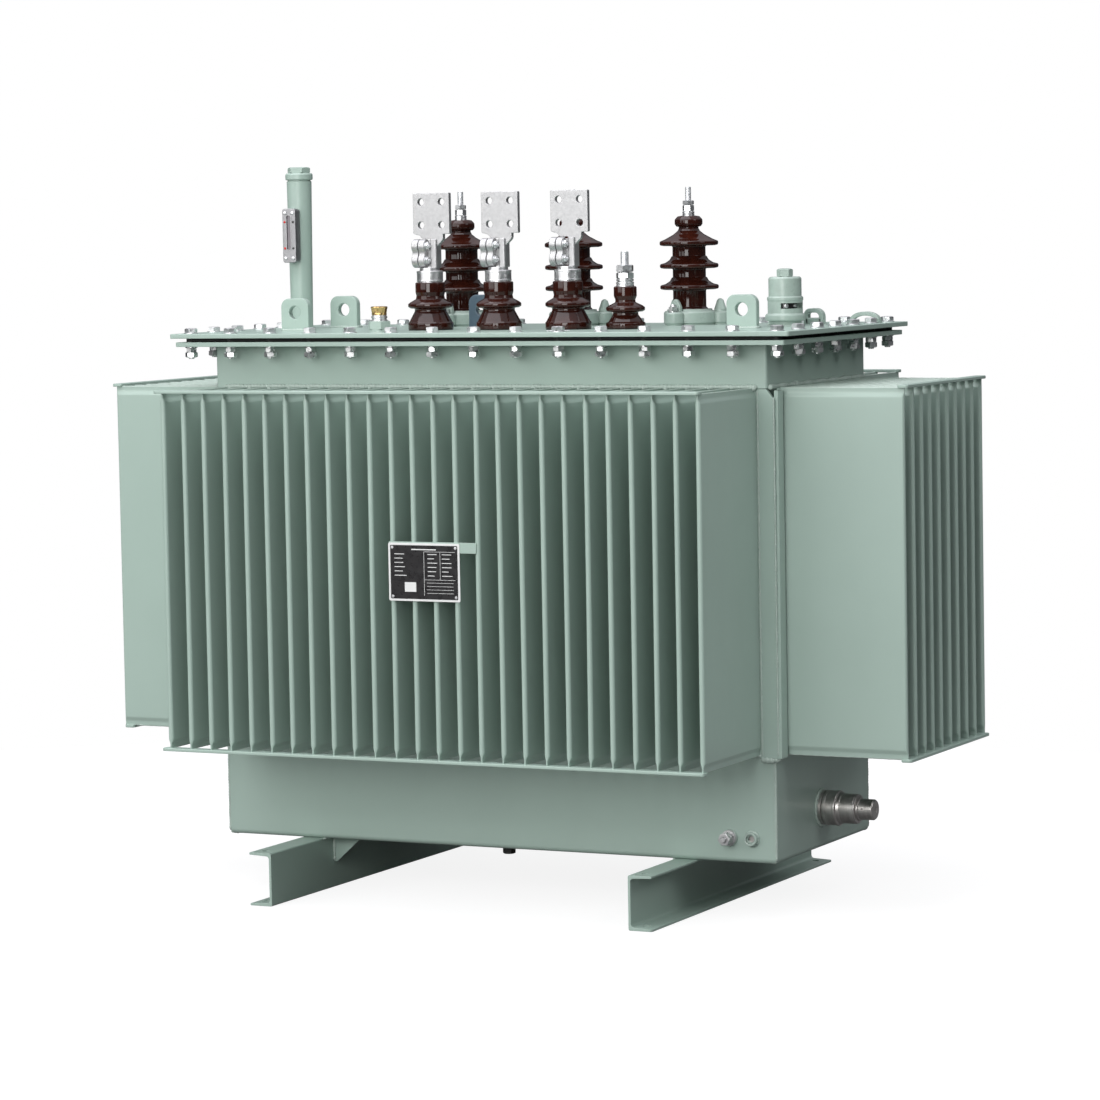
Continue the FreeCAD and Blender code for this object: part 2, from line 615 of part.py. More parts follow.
pts = [(0, ring_top), (D.hv_core_rad, ring_top)]
for lv in (D.hv_shed_a, D.hv_shed_b):
    pts += shed(up(lv), D.hv_core_rad)
pts += [(D.hv_core_rad, up(D.hv_shed_c) - D.hv_shed_edge), (D.hv_shed_rad, up(D.hv_shed_c) - D.hv_shed_edge + 1),
        (D.hv_shed_rad, up(D.hv_shed_c)), (D.hv_neck_rad, up(D.hv_bulb_low) - 3), (D.hv_neck_rad, up(D.hv_bulb_low)),
        (D.hv_bulb_rad, up(D.hv_bulb_low) + 5), (D.hv_bulb_rad, up(D.hv_bulb_high) - 5),
        (D.hv_washer_rad, up(D.hv_bulb_high)), (0, up(D.hv_bulb_high))]
keep(turned("hv_bushings", pts, hv_first, D.hv_y, hz, 2 * D.hv_pitch, 3), "hv_bushings")

rings = []
for k in (0, 1, 2):
    cx = hv_first + k * D.hv_pitch
    parts = [cyl("hv_ring_%d" % k, D.hv_ring_rad, ring_top, cx, D.hv_y, hz)]
    # three clamp lobes a third of a turn apart, each with its nut under a cast hood
    for j, (dx, dy) in enumerate(((-0.122, -0.993), (0.921, 0.391), (-0.799, 0.602))):
        parts.append(cyl("hv_lobe_%d_%d" % (k, j), D.hv_lobe_rad, D.hv_lobe_tall, cx + dx * D.hv_lobe_off,
                         D.hv_y + dy * D.hv_lobe_off, hz))
        parts.append(cyl("hv_boss_%d_%d" % (k, j), D.hv_boss_rad, D.hv_boss_tall, cx + dx * (D.hv_lobe_off + 4),
                         D.hv_y + dy * (D.hv_lobe_off + 4), hz))
    rings.append(fuse("hv_clamp_%d" % k, parts))
keep(group("hv_clamp_rings", rings), "hv_clamp_rings")

sb = up(D.hv_bulb_high)
keep(turned("hv_terminals", [(0, sb), (D.hv_washer_rad, sb), (D.hv_washer_rad, sb + D.hv_washer_tall),
                             (D.hv_nut_rad, sb + D.hv_washer_tall),
                             (D.hv_nut_rad, sb + D.hv_washer_tall + D.hv_nut_tall),
                             (D.hv_stud_rad, sb + D.hv_washer_tall + D.hv_nut_tall),
                             (D.hv_stud_rad, up(D.hv_stud_top)), (0, up(D.hv_stud_top))],
            hv_first, D.hv_y, hz, 2 * D.hv_pitch, 3), "hv_terminals")

# ---------------------------------------------------------------- low-voltage bushings
lv_first = D.lv_x - D.lv_pitch
pts = [(0, 0), (D.lv_foot_rad, 0), (D.lv_foot_rad, D.lv_foot_tall + D.lv_seat), (D.lv_skirt_top_rad, up(D.lv_skirt_top)),
       (D.lv_skirt_top_rad, up(D.lv_shed_low)), (D.lv_shed_rad, up(D.lv_shed_low) + 1),
       (D.lv_shed_rad, up(D.lv_shed_low) + D.lv_shed_edge), (D.lv_body_rad, up(D.lv_shed_top)),
       (D.lv_body_rad, up(D.lv_body_top)), (0, up(D.lv_body_top))]
keep(turned("lv_bushings", pts, lv_first, D.lv_y, hz, 2 * D.lv_pitch, 3), "lv_bushings")
keep(turned("lv_caps", [(0, up(D.lv_body_top)), (D.lv_cap_rad, up(D.lv_body_top)), (D.lv_cap_rad, up(D.lv_cap_top)),
                        (0, up(D.lv_cap_top))], lv_first, D.lv_y, hz, 2 * D.lv_pitch, 3), "lv_caps")

# cast terminal clamps: a split clamp block on the stud, a neck and an upright palm with four holes
palms = []
for k in (0, 1, 2):
    cx = lv_first + k * D.lv_pitch
    b = new_body("lv_palm_%d" % k)
    s = sketch_on(b, "lv_palm_%d_plate" % k, "XZ_Plane", D.palm_front - D.palm_thick)
    wid = D.palm_wid / 2
    polygon(s, [(-wid, D.palm_low), (wid, D.palm_low), (wid, D.palm_top), (-wid, D.palm_top)])
    mid_z = (D.palm_low + D.palm_top) / 2
    for sx in (-1, 1):
        for sz in (-1, 1):
            circle(s, sx * D.palm_hole_pitch / 2, mid_z + sz * D.palm_hole_pitch / 2, D.palm_hole_rad)
    p = pad(b, "lv_palm_%d_plate_pad" % k, s, D.palm_thick)
    place(b, cx + D.palm_shift, D.lv_y, 0)
    b.Tip = p
    blk = box("lv_clamp_block_%d" % k, D.clamp_left + D.clamp_right, D.clamp_deep, D.clamp_top - D.clamp_low,
              cx - D.clamp_left, D.lv_y - D.clamp_front, D.clamp_low)
    disc = cyl("lv_clamp_hub_%d" % k, D.hub_rad, D.clamp_top - D.lv_cap_top, cx, D.lv_y, D.lv_cap_top)
    neck = box("lv_clamp_neck_%d" % k, D.lug_neck_right - D.lug_neck_left, D.palm_thick, D.lug_neck_top - D.clamp_top + 12,
               cx + D.lug_neck_left, D.lv_y - D.palm_front, D.clamp_top - 12)
    palms.append(fuse("lv_terminal_%d" % k, [blk, disc, neck, b]))
keep(group("lv_terminals", palms), "lv_terminals")

# ---------------------------------------------------------------- neutral bushing
pts = [(0, 0), (D.nt_foot_rad, 0), (D.nt_foot_rad, D.nt_foot_tall + D.lv_seat), (D.nt_skirt_top_rad, up(D.nt_skirt_top)),
       (D.nt_skirt_top_rad, up(D.nt_shed_low)), (D.nt_shed_rad, up(D.nt_shed_low) + 1),
       (D.nt_shed_rad, up(D.nt_shed_low) + 5), (D.nt_body_rad, up(D.nt_shed_top)), (D.nt_body_rad, up(D.nt_body_top)),
       (0, up(D.nt_body_top))]
keep(turned("neutral_bushing", pts, D.nt_x, D.lv_y, hz), "neutral_bushing")
keep(turned("neutral_terminal", [(0, up(D.nt_body_top)), (D.nt_nut_rad, up(D.nt_body_top)), (D.nt_nut_rad, up(D.nt_nut_top)),
                                 (D.nt_stud_rad, up(D.nt_nut_top)), (D.nt_stud_rad, up(D.nt_stud_top)),
                                 (0, up(D.nt_stud_top))], D.nt_x, D.lv_y, hz), "neutral_terminal")

# ---------------------------------------------------------------- tap changer
z0 = D.tap_base_tall
z1 = z0 + D.tap_ring_tall
z2 = z1 + D.tap_low_tall
z3 = z2 + D.tap_lip_tall
z4 = z3 + D.tap_up_tall
tap = turned("tap_housing_turned", [(0, 0), (D.tap_base_rad, 0), (D.tap_base_rad, z0), (D.tap_ring_rad, z0),
                                    (D.tap_ring_rad, z1), (D.tap_low_rad, z1), (D.tap_low_rad, z2),
                                    (D.tap_lip_rad, z2), (D.tap_lip_rad, z3), (D.tap_up_rad, z3), (D.tap_up_rad, z4),
                                    (0, z4)], D.tap_x, D.tap_y, Z_COVER)
slot = box("tap_window", D.tap_slot_deep, D.tap_slot_wid, D.tap_slot_tall, D.tap_x, D.tap_y, D.tap_slot_low)
place(slot, D.tap_x + D.tap_slot_off_x, D.tap_y - D.tap_slot_off_y, D.tap_slot_low,
      FreeCAD.Rotation(V(0, 0, 1), D.tap_slot_turn.val))
keep(cut("tap_changer", tap, slot), "tap_changer")
keep(cyl("tap_knob_round", D.tap_knob_rad, D.tap_knob_tall, D.tap_x, D.tap_y, Z_COVER + z4), "tap_changer_knob")


# ---------------------------------------------------------------- handle and rear eye
def arch(label, half_wid, tall, bar, thick, x, y):
    """A low bent-bar loop that stands on the cover."""
    b = new_body(label)
    s = sketch_on(b, label + "_outline", "XZ_Plane")
    c = half_wid * 0.35
    d = (half_wid - bar) * 0.35
    polygon(s, [(-half_wid, 0), (-half_wid, tall - c), (-(half_wid - c), tall), (half_wid - c, tall),
                (half_wid, tall - c), (half_wid, 0), (half_wid - bar, 0), (half_wid - bar, tall - bar - d),
                (half_wid - bar - d, tall - bar), (-(half_wid - bar - d), tall - bar),
                (-(half_wid - bar), tall - bar - d), (-(half_wid - bar), 0)])
    b.Tip = pad(b, label + "_pad", s, thick, mid=True)
    place(b, x, y, Z_COVER)
    return b


keep(arch("lid_handle", D.handle_wid / 2, D.handle_tall, D.handle_bar, D.handle_deep, D.handle_x, D.handle_y),
     "lid_handle")
keep(arch("rear_eye", D.eye_rad, D.eye_tall, D.eye_bar, D.eye_thick, D.eye_x, D.eye_y), "rear_eye")

# ---------------------------------------------------------------- rating plate
py = -long_tip - D.bracket_thick
keep(box("bracket_strip", D.bracket_wid, D.bracket_thick, D.bracket_tall, D.plate_x - D.plate_wid / 2, py,
         D.plate_low + D.plate_tall - D.bracket_tall + 2), "plate_bracket")
keep(box("rating_sheet", D.plate_wid, D.plate_thick, D.plate_tall, D.plate_x - D.plate_wid / 2,
         py - D.plate_thick, D.plate_low), "rating_plate")

# ---------------------------------------------------------------- checks and output
doc.recompute()
bad = [o.Name for o in doc.Objects if "Invalid" in o.State or "Error" in o.State]
if bad:
    raise RuntimeError("failed objects: " + ", ".join(bad))
for o in NODES:
    if o.Shape.isNull() or not o.Shape.isValid() or not o.Shape.Solids:
        raise RuntimeError("bad shape: " + o.Label)
for o in NODES:
    o.Shape.exportStep("parts/%s.step" % o.Label)
    print(o.Label, len(o.Shape.Solids), round(o.Shape.Volume / 1e6, 4))
print(len(NODES), "nodes")
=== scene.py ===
import math
import random

import bpy
import bmesh
from mathutils import Matrix, Vector
from mathutils.geometry import tessellate_polygon


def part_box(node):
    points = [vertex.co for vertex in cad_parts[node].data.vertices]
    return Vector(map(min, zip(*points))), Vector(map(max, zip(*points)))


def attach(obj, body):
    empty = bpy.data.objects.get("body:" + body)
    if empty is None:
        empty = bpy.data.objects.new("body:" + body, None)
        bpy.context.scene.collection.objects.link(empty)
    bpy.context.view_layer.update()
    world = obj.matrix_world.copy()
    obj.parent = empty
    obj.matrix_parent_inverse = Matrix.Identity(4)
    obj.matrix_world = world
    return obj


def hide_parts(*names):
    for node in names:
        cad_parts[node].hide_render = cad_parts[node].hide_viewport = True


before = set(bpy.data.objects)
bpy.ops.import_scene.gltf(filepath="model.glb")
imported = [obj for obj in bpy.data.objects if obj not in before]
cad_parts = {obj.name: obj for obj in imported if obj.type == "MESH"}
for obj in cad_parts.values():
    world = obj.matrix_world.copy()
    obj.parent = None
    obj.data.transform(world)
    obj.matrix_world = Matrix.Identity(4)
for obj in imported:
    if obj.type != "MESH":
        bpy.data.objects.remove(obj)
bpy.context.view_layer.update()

S = 0.001
TAU = 2 * math.pi
scene = bpy.context.scene


# ------------------------------------------------------------------ mesh tools (all in millimetres)
class Mesh:
    """Vertices and faces gathered in millimetres, made into one piece at the end."""

    def __init__(self):
        self.v, self.f, self.m = [], [], []

    def add(self, verts, faces, xf=None, mi=0):
        n = len(self.v)
        if xf is not None:
            verts = [xf @ Vector(p) for p in verts]
        self.v += [(p[0], p[1], p[2]) for p in verts]
        self.f += [tuple(n + i for i in f) for f in faces]
        self.m += [mi] * len(faces)
        return self


def at(x=0, y=0, z=0, rx=0, ry=0, rz=0):
    return (Matrix.Translation((x, y, z)) @ Matrix.Rotation(math.radians(rz), 4, "Z")
            @ Matrix.Rotation(math.radians(ry), 4, "Y") @ Matrix.Rotation(math.radians(rx), 4, "X"))


def to_mesh(name, m):
    me = bpy.data.meshes.new(name)
    me.from_pydata([(x * S, y * S, z * S) for x, y, z in m.v], [], m.f)
    me.polygons.foreach_set("material_index", m.m)
    me.validate()
    bm = bmesh.new()
    bm.from_mesh(me)
    bmesh.ops.recalc_face_normals(bm, faces=bm.faces)
    bm.to_mesh(me)
    bm.free()
    return me


MADE = set()


def piece(name, m, mats, nodes=(), slot="paint", bevel=0.0, seg=2, sharp=38):
    me = m if isinstance(m, bpy.types.Mesh) else to_mesh(name, m)
    me.name = name
    me.polygons.foreach_set("use_smooth", [True] * len(me.polygons))
    if not bevel:
        me.set_sharp_from_angle(angle=math.radians(sharp))
    ob = bpy.data.objects.new(name, me)
    scene.collection.objects.link(ob)
    for mt in (mats if isinstance(mats, (list, tuple)) else [mats]):
        me.materials.append(mt)
    if bevel:
        b = ob.modifiers.new("edges", "BEVEL")
        b.width = bevel * S
        b.segments = seg
        b.limit_method = "ANGLE"
        b.angle_limit = math.radians(sharp)
        b.harden_normals = True
    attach(ob, "root")
    if nodes:
        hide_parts(*nodes)
    if slot != "porcelain":
        MADE.add(ob.name)
    return ob


def soft(pts, n=4):
    """Rounds the corners of an open profile; a corner is (r, z) or (r, z, radius)."""
    out = []
    for i, p in enumerate(pts):
        rad = p[2] if len(p) > 2 else 0
        b = Vector(p[:2])
        if rad <= 0 or i in (0, len(pts) - 1):
            out.append((b.x, b.y))
            continue
        a, c = Vector(pts[i - 1][:2]), Vector(pts[i + 1][:2])
        u, w = (a - b), (c - b)
        la, lc = u.length, w.length
        u.normalize()
        w.normalize()
        ang = u.angle(w)
        if ang > math.pi - 0.02:
            out.append((b.x, b.y))
            continue
        d = min(rad / math.tan(ang / 2), 0.48 * la, 0.48 * lc)
        r = d * math.tan(ang / 2)
        cen = b + (u + w).normalized() * (r / math.sin(ang / 2))
        v0, v1 = (b + u * d) - cen, (b + w * d) - cen
        tot = v0.angle(v1)
        if v0.x * v1.y - v0.y * v1.x < 0:
            tot = -tot
        for k in range(n + 1):
            t = tot * k / n
            out.append((cen.x + v0.x * math.cos(t) - v0.y * math.sin(t), cen.y + v0.x * math.sin(t) + v0.y * math.cos(t)))
    return out


def lathe(m, prof, x=0, y=0, z=0, seg=56, xf=None, mi=0):
    """Turns a profile of (r, z) points about its own Z axis; it starts and ends on the axis."""
    t = (xf if xf is not None else Matrix.Identity(4))
    t = Matrix.Translation((x, y, z)) @ t
    v, rows, f = [], [], []
    for r, h in prof:
        if r < 1e-4:
            rows.append([len(v)])
            v.append((0, 0, h))
        else:
            rows.append(list(range(len(v), len(v) + seg)))
            v += [(r * math.cos(TAU * k / seg), r * math.sin(TAU * k / seg), h) for k in range(seg)]
    for a, b in zip(rows, rows[1:]):
        if len(a) == 1 and len(b) == 1:
            continue
        for k in range(seg):
            j = (k + 1) % seg
            if len(a) == 1:
                f.append((a[0], b[k], b[j]))
            elif len(b) == 1:
                f.append((a[k], b[0], a[j]))
            else:
                f.append((a[k], b[k], b[j], a[j]))
    return m.add(v, f, t, mi)


def loft(m, rings, xf=None, mi=0, caps=True):
    n = len(rings[0])
    v = [p for r in rings for p in r]
    f = []
    for i in range(len(rings) - 1):
        for k in range(n):
            j = (k + 1) % n
            f.append((i * n + k, i * n + j, (i + 1) * n + j, (i + 1) * n + k))
    if caps:
        f.append(tuple(range(n))[::-1])
        f.append(tuple((len(rings) - 1) * n + k for k in range(n)))
    return m.add(v, f, xf, mi)


def rr(hx, hy, r, k=5):
    r = min(r, hx, hy)
    pts = []
    for sx, sy, a0 in ((1, 1, 0), (-1, 1, 90), (-1, -1, 180), (1, -1, 270)):
        for j in range(k + 1):
            a = math.radians(a0 + 90 * j / k)
            pts.append((sx * (hx - r) + r * math.cos(a), sy * (hy - r) + r * math.sin(a)))
    return pts


def rbox(m, hx, hy, z0, z1, r, low=0.8, high=0.8, k=5, xf=None, mi=0):
    """A box with rounded upright edges and rounded top and bottom edges."""
    rings = []
    n = 3 if max(low, high) < 3 else 6

    def ring(ins, z):
        return [(a, b, z) for a, b in rr(hx - ins, hy - ins, max(r - ins, 0.25), k)]

    for j in range(n + 1):
        a = math.pi / 2 * j / n
        rings.append(ring(low * (1 - math.sin(a)), z0 + low * (1 - math.cos(a))))
    for j in range(n + 1):
        a = math.pi / 2 * j / n
        rings.append(ring(high * (1 - math.cos(a)), z1 - high * (1 - math.sin(a))))
    return loft(m, rings, xf, mi)


def shift(loop, d):
    """Moves a closed loop to the left of its direction of travel by d."""
    n, out = len(loop), []
    for i in range(n):
        a, b, c = Vector(loop[i - 1]), Vector(loop[i]), Vector(loop[(i + 1) % n])
        e, g = (b - a).normalized(), (c - b).normalized()
        n1, n2 = Vector((-e.y, e.x)), Vector((-g.y, g.x))
        h = n1 + n2
        if h.length < 1e-6:
            h = n1
        h.normalize()
        out.append(b + h * (d / max(0.35, h.dot(n1))))
    return out


def turn_area(loop):
    return sum(loop[i - 1][0] * loop[i][1] - loop[i][0] * loop[i - 1][1] for i in range(len(loop))) / 2


def plate(m, outer, holes=(), thick=5.0, bev=0.6, steps=2, xf=None, mi=0):
    """A flat plate in the XY plane about z = 0, with rounded edges and any holes."""
    loops = [list(outer) if turn_area(outer) > 0 else list(outer)[::-1]]
    loops += [list(h) if turn_area(h) < 0 else list(h)[::-1] for h in holes]
    h = thick / 2
    lev = []
    for k in range(steps + 1):
        a = math.pi / 2 * k / steps
        lev.append((bev * (1 - math.sin(a)), -h + bev * (1 - math.cos(a))))
    lev += [(o, -z) for o, z in reversed(lev)]
    v, f, first, last = [], [], [], []
    for lp in loops:
        n, base = len(lp), len(v)
        for o, z in lev:
            v += [(p[0], p[1], z) for p in (shift(lp, o) if o > 1e-6 else lp)]
        for i in range(len(lev) - 1):
            for k in range(n):
                j = (k + 1) % n
                f.append((base + i * n + k, base + i * n + j, base + (i + 1) * n + j, base + (i + 1) * n + k))
        first.append(list(range(base, base + n)))
        last.append(list(range(base + (len(lev) - 1) * n, base + len(lev) * n)))
    for rings in (first, last):
        flat = [i for r in rings for i in r]
        tris = tessellate_polygon([[Vector((v[i][0], v[i][1], 0)) for i in r] for r in rings])
        f += [tuple(flat[i] for i in t) for t in tris]
    return m.add(v, f, xf, mi)


def disc_pts(x, y, r, n=28):
    return [(x + r * math.cos(TAU * k / n), y + r * math.sin(TAU * k / n)) for k in range(n)]


def round_poly(pts, n=5):
    """Rounds a closed polygon's corners; each corner is (x, y) or (x, y, radius)."""
    k = len(pts)
    out = []
    for i in range(k):
        tri = [pts[i - 1][:2], pts[i], pts[(i + 1) % k][:2]]
        out += soft([tri[0], tri[1], tri[2]], n)[1:-1]
    return out


def hexnut(m, af, h, xf=None, top=0.93, low=0.93, n=4, mi=0, turn=0.0, dome=0.0):
    """A hexagon with turned chamfers, standing on z = 0."""
    seg = 6 * n
    ap = af / 2
    rows = [[], [], [], []]
    for k in range(seg):
        th = TAU * k / seg + turn
        loc = (TAU * k / seg) % (math.pi / 3) - math.pi / 6
        rho = ap / math.cos(loc)
        c, s = math.cos(th), math.sin(th)
        zl = (rho - ap * low) * 0.55
        zt = h - (rho - ap * top) * 0.55
        rows[0].append((ap * low * c, ap * low * s, 0))
        rows[1].append((rho * c, rho * s, zl))
        rows[2].append((rho * c, rho * s, zt))
        rows[3].append((ap * top * c, ap * top * s, h))
    if dome:
        rows.append([(ap * 0.6 * math.cos(TAU * k / seg + turn), ap * 0.6 * math.sin(TAU * k / seg + turn), h + dome)
                     for k in range(seg)])
    return loft(m, rows, xf, mi)


def thread(m, r, z0, z1, pitch=1.75, depth=0.55, seg=24, xf=None, mi=0, x=0, y=0):
    prof = [(0, z0), (r - depth, z0)]
    z = z0 + 0.2
    while z + pitch < z1 - 1.2:
        prof += [(r - depth, z), (r, z + pitch * 0.38), (r, z + pitch * 0.58)]
        z += pitch
    prof += [(r - depth, z), (r - depth * 0.5, z1 - 1.0), (r - depth - 0.7, z1), (0, z1)]
    return lathe(m, prof, x, y, 0, seg, xf, mi)


def bead(m, pts, r, seed=1, step=2.2, ripple=0.16, n=7, mi=0, squash=1.0, taper=True):
    """A weld bead: a rippled, slightly uneven run along a line of points."""
    rnd = random.Random(seed)
    path = [Vector(p) for p in pts]
    run, samples = 0.0, []
    for a, b in zip(path, path[1:]):
        d = (b - a).length
        k = max(1, int(round(d / step)))
        for i in range(k):
            samples.append(a + (b - a) * (i / k))
    samples.append(path[-1])
    cnt = len(samples)
    rings = []
    w1, w2 = rnd.uniform(0, 6), rnd.uniform(0, 6)
    for i, p in enumerate(samples):
        t = (samples[min(i + 1, cnt - 1)] - samples[max(i - 1, 0)]).normalized()
        upv = Vector((0, 0, 1)) if abs(t.z) < 0.9 else Vector((1, 0, 0))
        s = t.cross(upv).normalized()
        u = s.cross(t).normalized()
        k = 1 + ripple * math.sin(i * 2.1 + w1) + ripple * 0.7 * math.sin(i * 0.37 + w2) + rnd.uniform(-1, 1) * ripple * 0.35
        if taper and (i == 0 or i == cnt - 1):
            k *= 0.45
        elif taper and (i == 1 or i == cnt - 2):
            k *= 0.8
        rings.append([p + (s * math.cos(TAU * j / n) + u * math.sin(TAU * j / n) * squash) * (r * k) for j in range(n)])
    return loft(m, rings, None, mi)


def ring_bead(m, x, y, z, rad, r, seed=1, a0=0.0, a1=360.0, n=7, ripple=0.14):
    k = max(10, int(abs(a1 - a0) / 360 * TAU * rad / 2.4))
    pts = [(x + rad * math.cos(math.radians(a0 + (a1 - a0) * i / k)), y + rad * math.sin(math.radians(a0 + (a1 - a0) * i / k)), z)
           for i in range(k + 1)]
    return bead(m, pts, r, seed, 2.4, ripple, n)


def carve(name, m, cutters):
    """The mesh with the closed cutter meshes taken out of it."""
    ob = bpy.data.objects.new(name, to_mesh(name, m))
    scene.collection.objects.link(ob)
    tools = []
    for i, c in enumerate(cutters):
        t = bpy.data.objects.new("cut_%d" % i, to_mesh("cut_%d" % i, c))
        scene.collection.objects.link(t)
        tools.append(t)
        b = ob.modifiers.new("cut_%d" % i, "BOOLEAN")
        b.operation = "DIFFERENCE"
        b.solver = "EXACT"
        b.object = t
    dg = bpy.context.evaluated_depsgraph_get()
    dg.update()
    me = bpy.data.meshes.new_from_object(ob.evaluated_get(dg))
    for t in tools:
        d = t.data
        bpy.data.objects.remove(t)
        bpy.data.meshes.remove(d)
    d = ob.data
    bpy.data.objects.remove(ob)
    bpy.data.meshes.remove(d)
    me.materials.clear()
    return me


# ------------------------------------------------------------------ materials
def lin(c):
    c = c / 255.0
    return c / 12.92 if c <= 0.04045 else ((c + 0.055) / 1.055) ** 2.4


def rgb(r, g, b):
    return (lin(r), lin(g), lin(b), 1.0)


class Shader:
    def __init__(self, name):
        self.mat = bpy.data.materials.new(name)
        self.mat.use_nodes = True
        self.nt = self.mat.node_tree
        self.bsdf = self.nt.nodes["Principled BSDF"]
        self.tc = self.nt.nodes.new("ShaderNodeTexCoord").outputs["Object"]

    def node(self, kind, **kw):
        n = self.nt.nodes.new(kind)
        for k, v in kw.items():
            setattr(n, k, v)
        return n

    def link(self, a, b):
        self.nt.links.new(a, b)

    def noise(self, scale, detail=3.0, rough=0.55, stretch=(1, 1, 1), shift=0.0):
        mp = self.node("ShaderNodeMapping")
        mp.inputs["Scale"].default_value = stretch
        mp.inputs["Location"].default_value = (shift, shift * 0.7, shift * 1.3)
        self.link(self.tc, mp.inputs["Vector"])
        n = self.node("ShaderNodeTexNoise")
        n.inputs["Scale"].default_value = scale
        n.inputs["Detail"].default_value = detail
        n.inputs["Roughness"].default_value = rough
        self.link(mp.outputs["Vector"], n.inputs["Vector"])
        return n.outputs["Fac"]

    def ramp(self, fac, stops):
        r = self.node("ShaderNodeValToRGB")
        el = r.color_ramp.elements
        while len(el) < len(stops):
            el.new(0.5)
        for e, (p, c) in zip(el, stops):
            e.position = p
            e.color = c if len(c) == 4 else (*c, 1)
        self.link(fac, r.inputs["Fac"])
        return r.outputs["Color"]

    def mix(self, fac, a, b, mode="MIX"):
        n = self.node("ShaderNodeMix", data_type="RGBA", blend_type=mode)
        ins = [s for s in n.inputs if s.type == "RGBA"]
        f = [s for s in n.inputs if s.type == "VALUE"][0]
        for s, v in ((f, fac), (ins[0], a), (ins[1], b)):
            if isinstance(v, bpy.types.NodeSocket):
                self.link(v, s)
            else:
                s.default_value = v
        return [o for o in n.outputs if o.type == "RGBA"][0]

    def span(self, fac, lo, hi, f0=0.3, f1=0.7):
        n = self.node("ShaderNodeMapRange")
        n.inputs["From Min"].default_value = f0
        n.inputs["From Max"].default_value = f1
        n.inputs["To Min"].default_value = lo
        n.inputs["To Max"].default_value = hi
        self.link(fac, n.inputs["Value"])
        return n.outputs["Result"]

    def add(self, a, b):
        n = self.node("ShaderNodeMath", operation="ADD")
        self.link(a, n.inputs[0])
        self.link(b, n.inputs[1])
        return n.outputs[0]

    def bump(self, height, strength, dist, after=None):
        n = self.node("ShaderNodeBump")
        n.inputs["Strength"].default_value = strength
        n.inputs["Distance"].default_value = dist
        self.link(height, n.inputs["Height"])
        if after is not None:
            self.link(after, n.inputs["Normal"])
        return n.outputs["Normal"]

    def done(self, color, rough, normal=None, metallic=0.0, coat=0.0, coat_rough=0.1, spec=0.5, ior=1.5):
        b = self.bsdf
        b.inputs["Metallic"].default_value = metallic
        b.inputs["Coat Weight"].default_value = coat
        b.inputs["Coat Roughness"].default_value = coat_rough
        b.inputs["Specular IOR Level"].default_value = spec
        b.inputs["IOR"].default_value = ior
        self.link(color, b.inputs["Base Color"])
        self.link(rough, b.inputs["Roughness"])
        if normal is not None:
            self.link(normal, b.inputs["Normal"])
        return self.mat


def tint(c, k):
    return (min(c[0] * k, 1), min(c[1] * k, 1), min(c[2] * k, 1), 1.0)


def paint(name, c, rough=0.36, coat=0.12, orange=0.10):
    """Sprayed enamel: faint colour drift, fine orange peel, a few dull rubs."""
    s = Shader(name)
    drift = s.ramp(s.noise(2.6, 4, 0.6), [(0.30, tint(c, 0.955)), (0.70, tint(c, 1.04))])
    streak = s.ramp(s.noise(9.0, 5, 0.6, (1, 1, 0.12), 3.0), [(0.42, (0.0, 0.0, 0.0)), (0.78, (1.0, 1.0, 1.0))])
    col = s.mix(s.span(streak, 0.0, 0.14, 0, 1), drift, tint(c, 1.13))
    speck = s.ramp(s.noise(420.0, 2, 0.5, (1, 1, 1), 7.0), [(0.30, tint(c, 0.93)), (0.42, tint(c, 1.0))])
    col = s.mix(0.22, col, speck)
    ro = s.span(s.noise(14.0, 4, 0.6, (1, 1, 0.4), 5.0), rough - 0.05, rough + 0.08)
    n1 = s.bump(s.noise(150.0, 2, 0.5), orange, 0.0006)
    n2 = s.bump(s.noise(4.2, 2, 0.5, (1, 1, 0.5), 2.0), 0.10, 0.006, n1)
    return s.done(col, ro, n2, 0.0, coat, 0.16)


def cast_paint(name, c):
    """The same enamel on rough castings and weld runs."""
    s = Shader(name)
    col = s.ramp(s.noise(60.0, 4, 0.6), [(0.30, tint(c, 0.93)), (0.70, tint(c, 1.06))])
    ro = s.span(s.noise(90.0, 3, 0.6), 0.26, 0.42)
    n = s.bump(s.noise(320.0, 3, 0.6), 0.28, 0.0008)
    return s.done(col, ro, n, 0.0, 0.25, 0.14)


def porcelain(name):
    """Dark brown glaze, thinner and redder here and there."""
    s = Shader(name)
    col = s.ramp(s.noise(38.0, 4, 0.6), [(0.25, (0.017, 0.0036, 0.0022)), (0.55, (0.030, 0.0066, 0.0038)), (0.80, (0.050, 0.0115, 0.0065))])
    ro = s.span(s.noise(55.0, 3, 0.5, (1, 1, 1), 2.0), 0.035, 0.085)
    n = s.bump(s.noise(26.0, 2, 0.5, (1, 1, 1.6)), 0.03, 0.0010)
    return s.done(col, ro, n, 0.0, 0.0, 0.03, 0.42, 1.50)


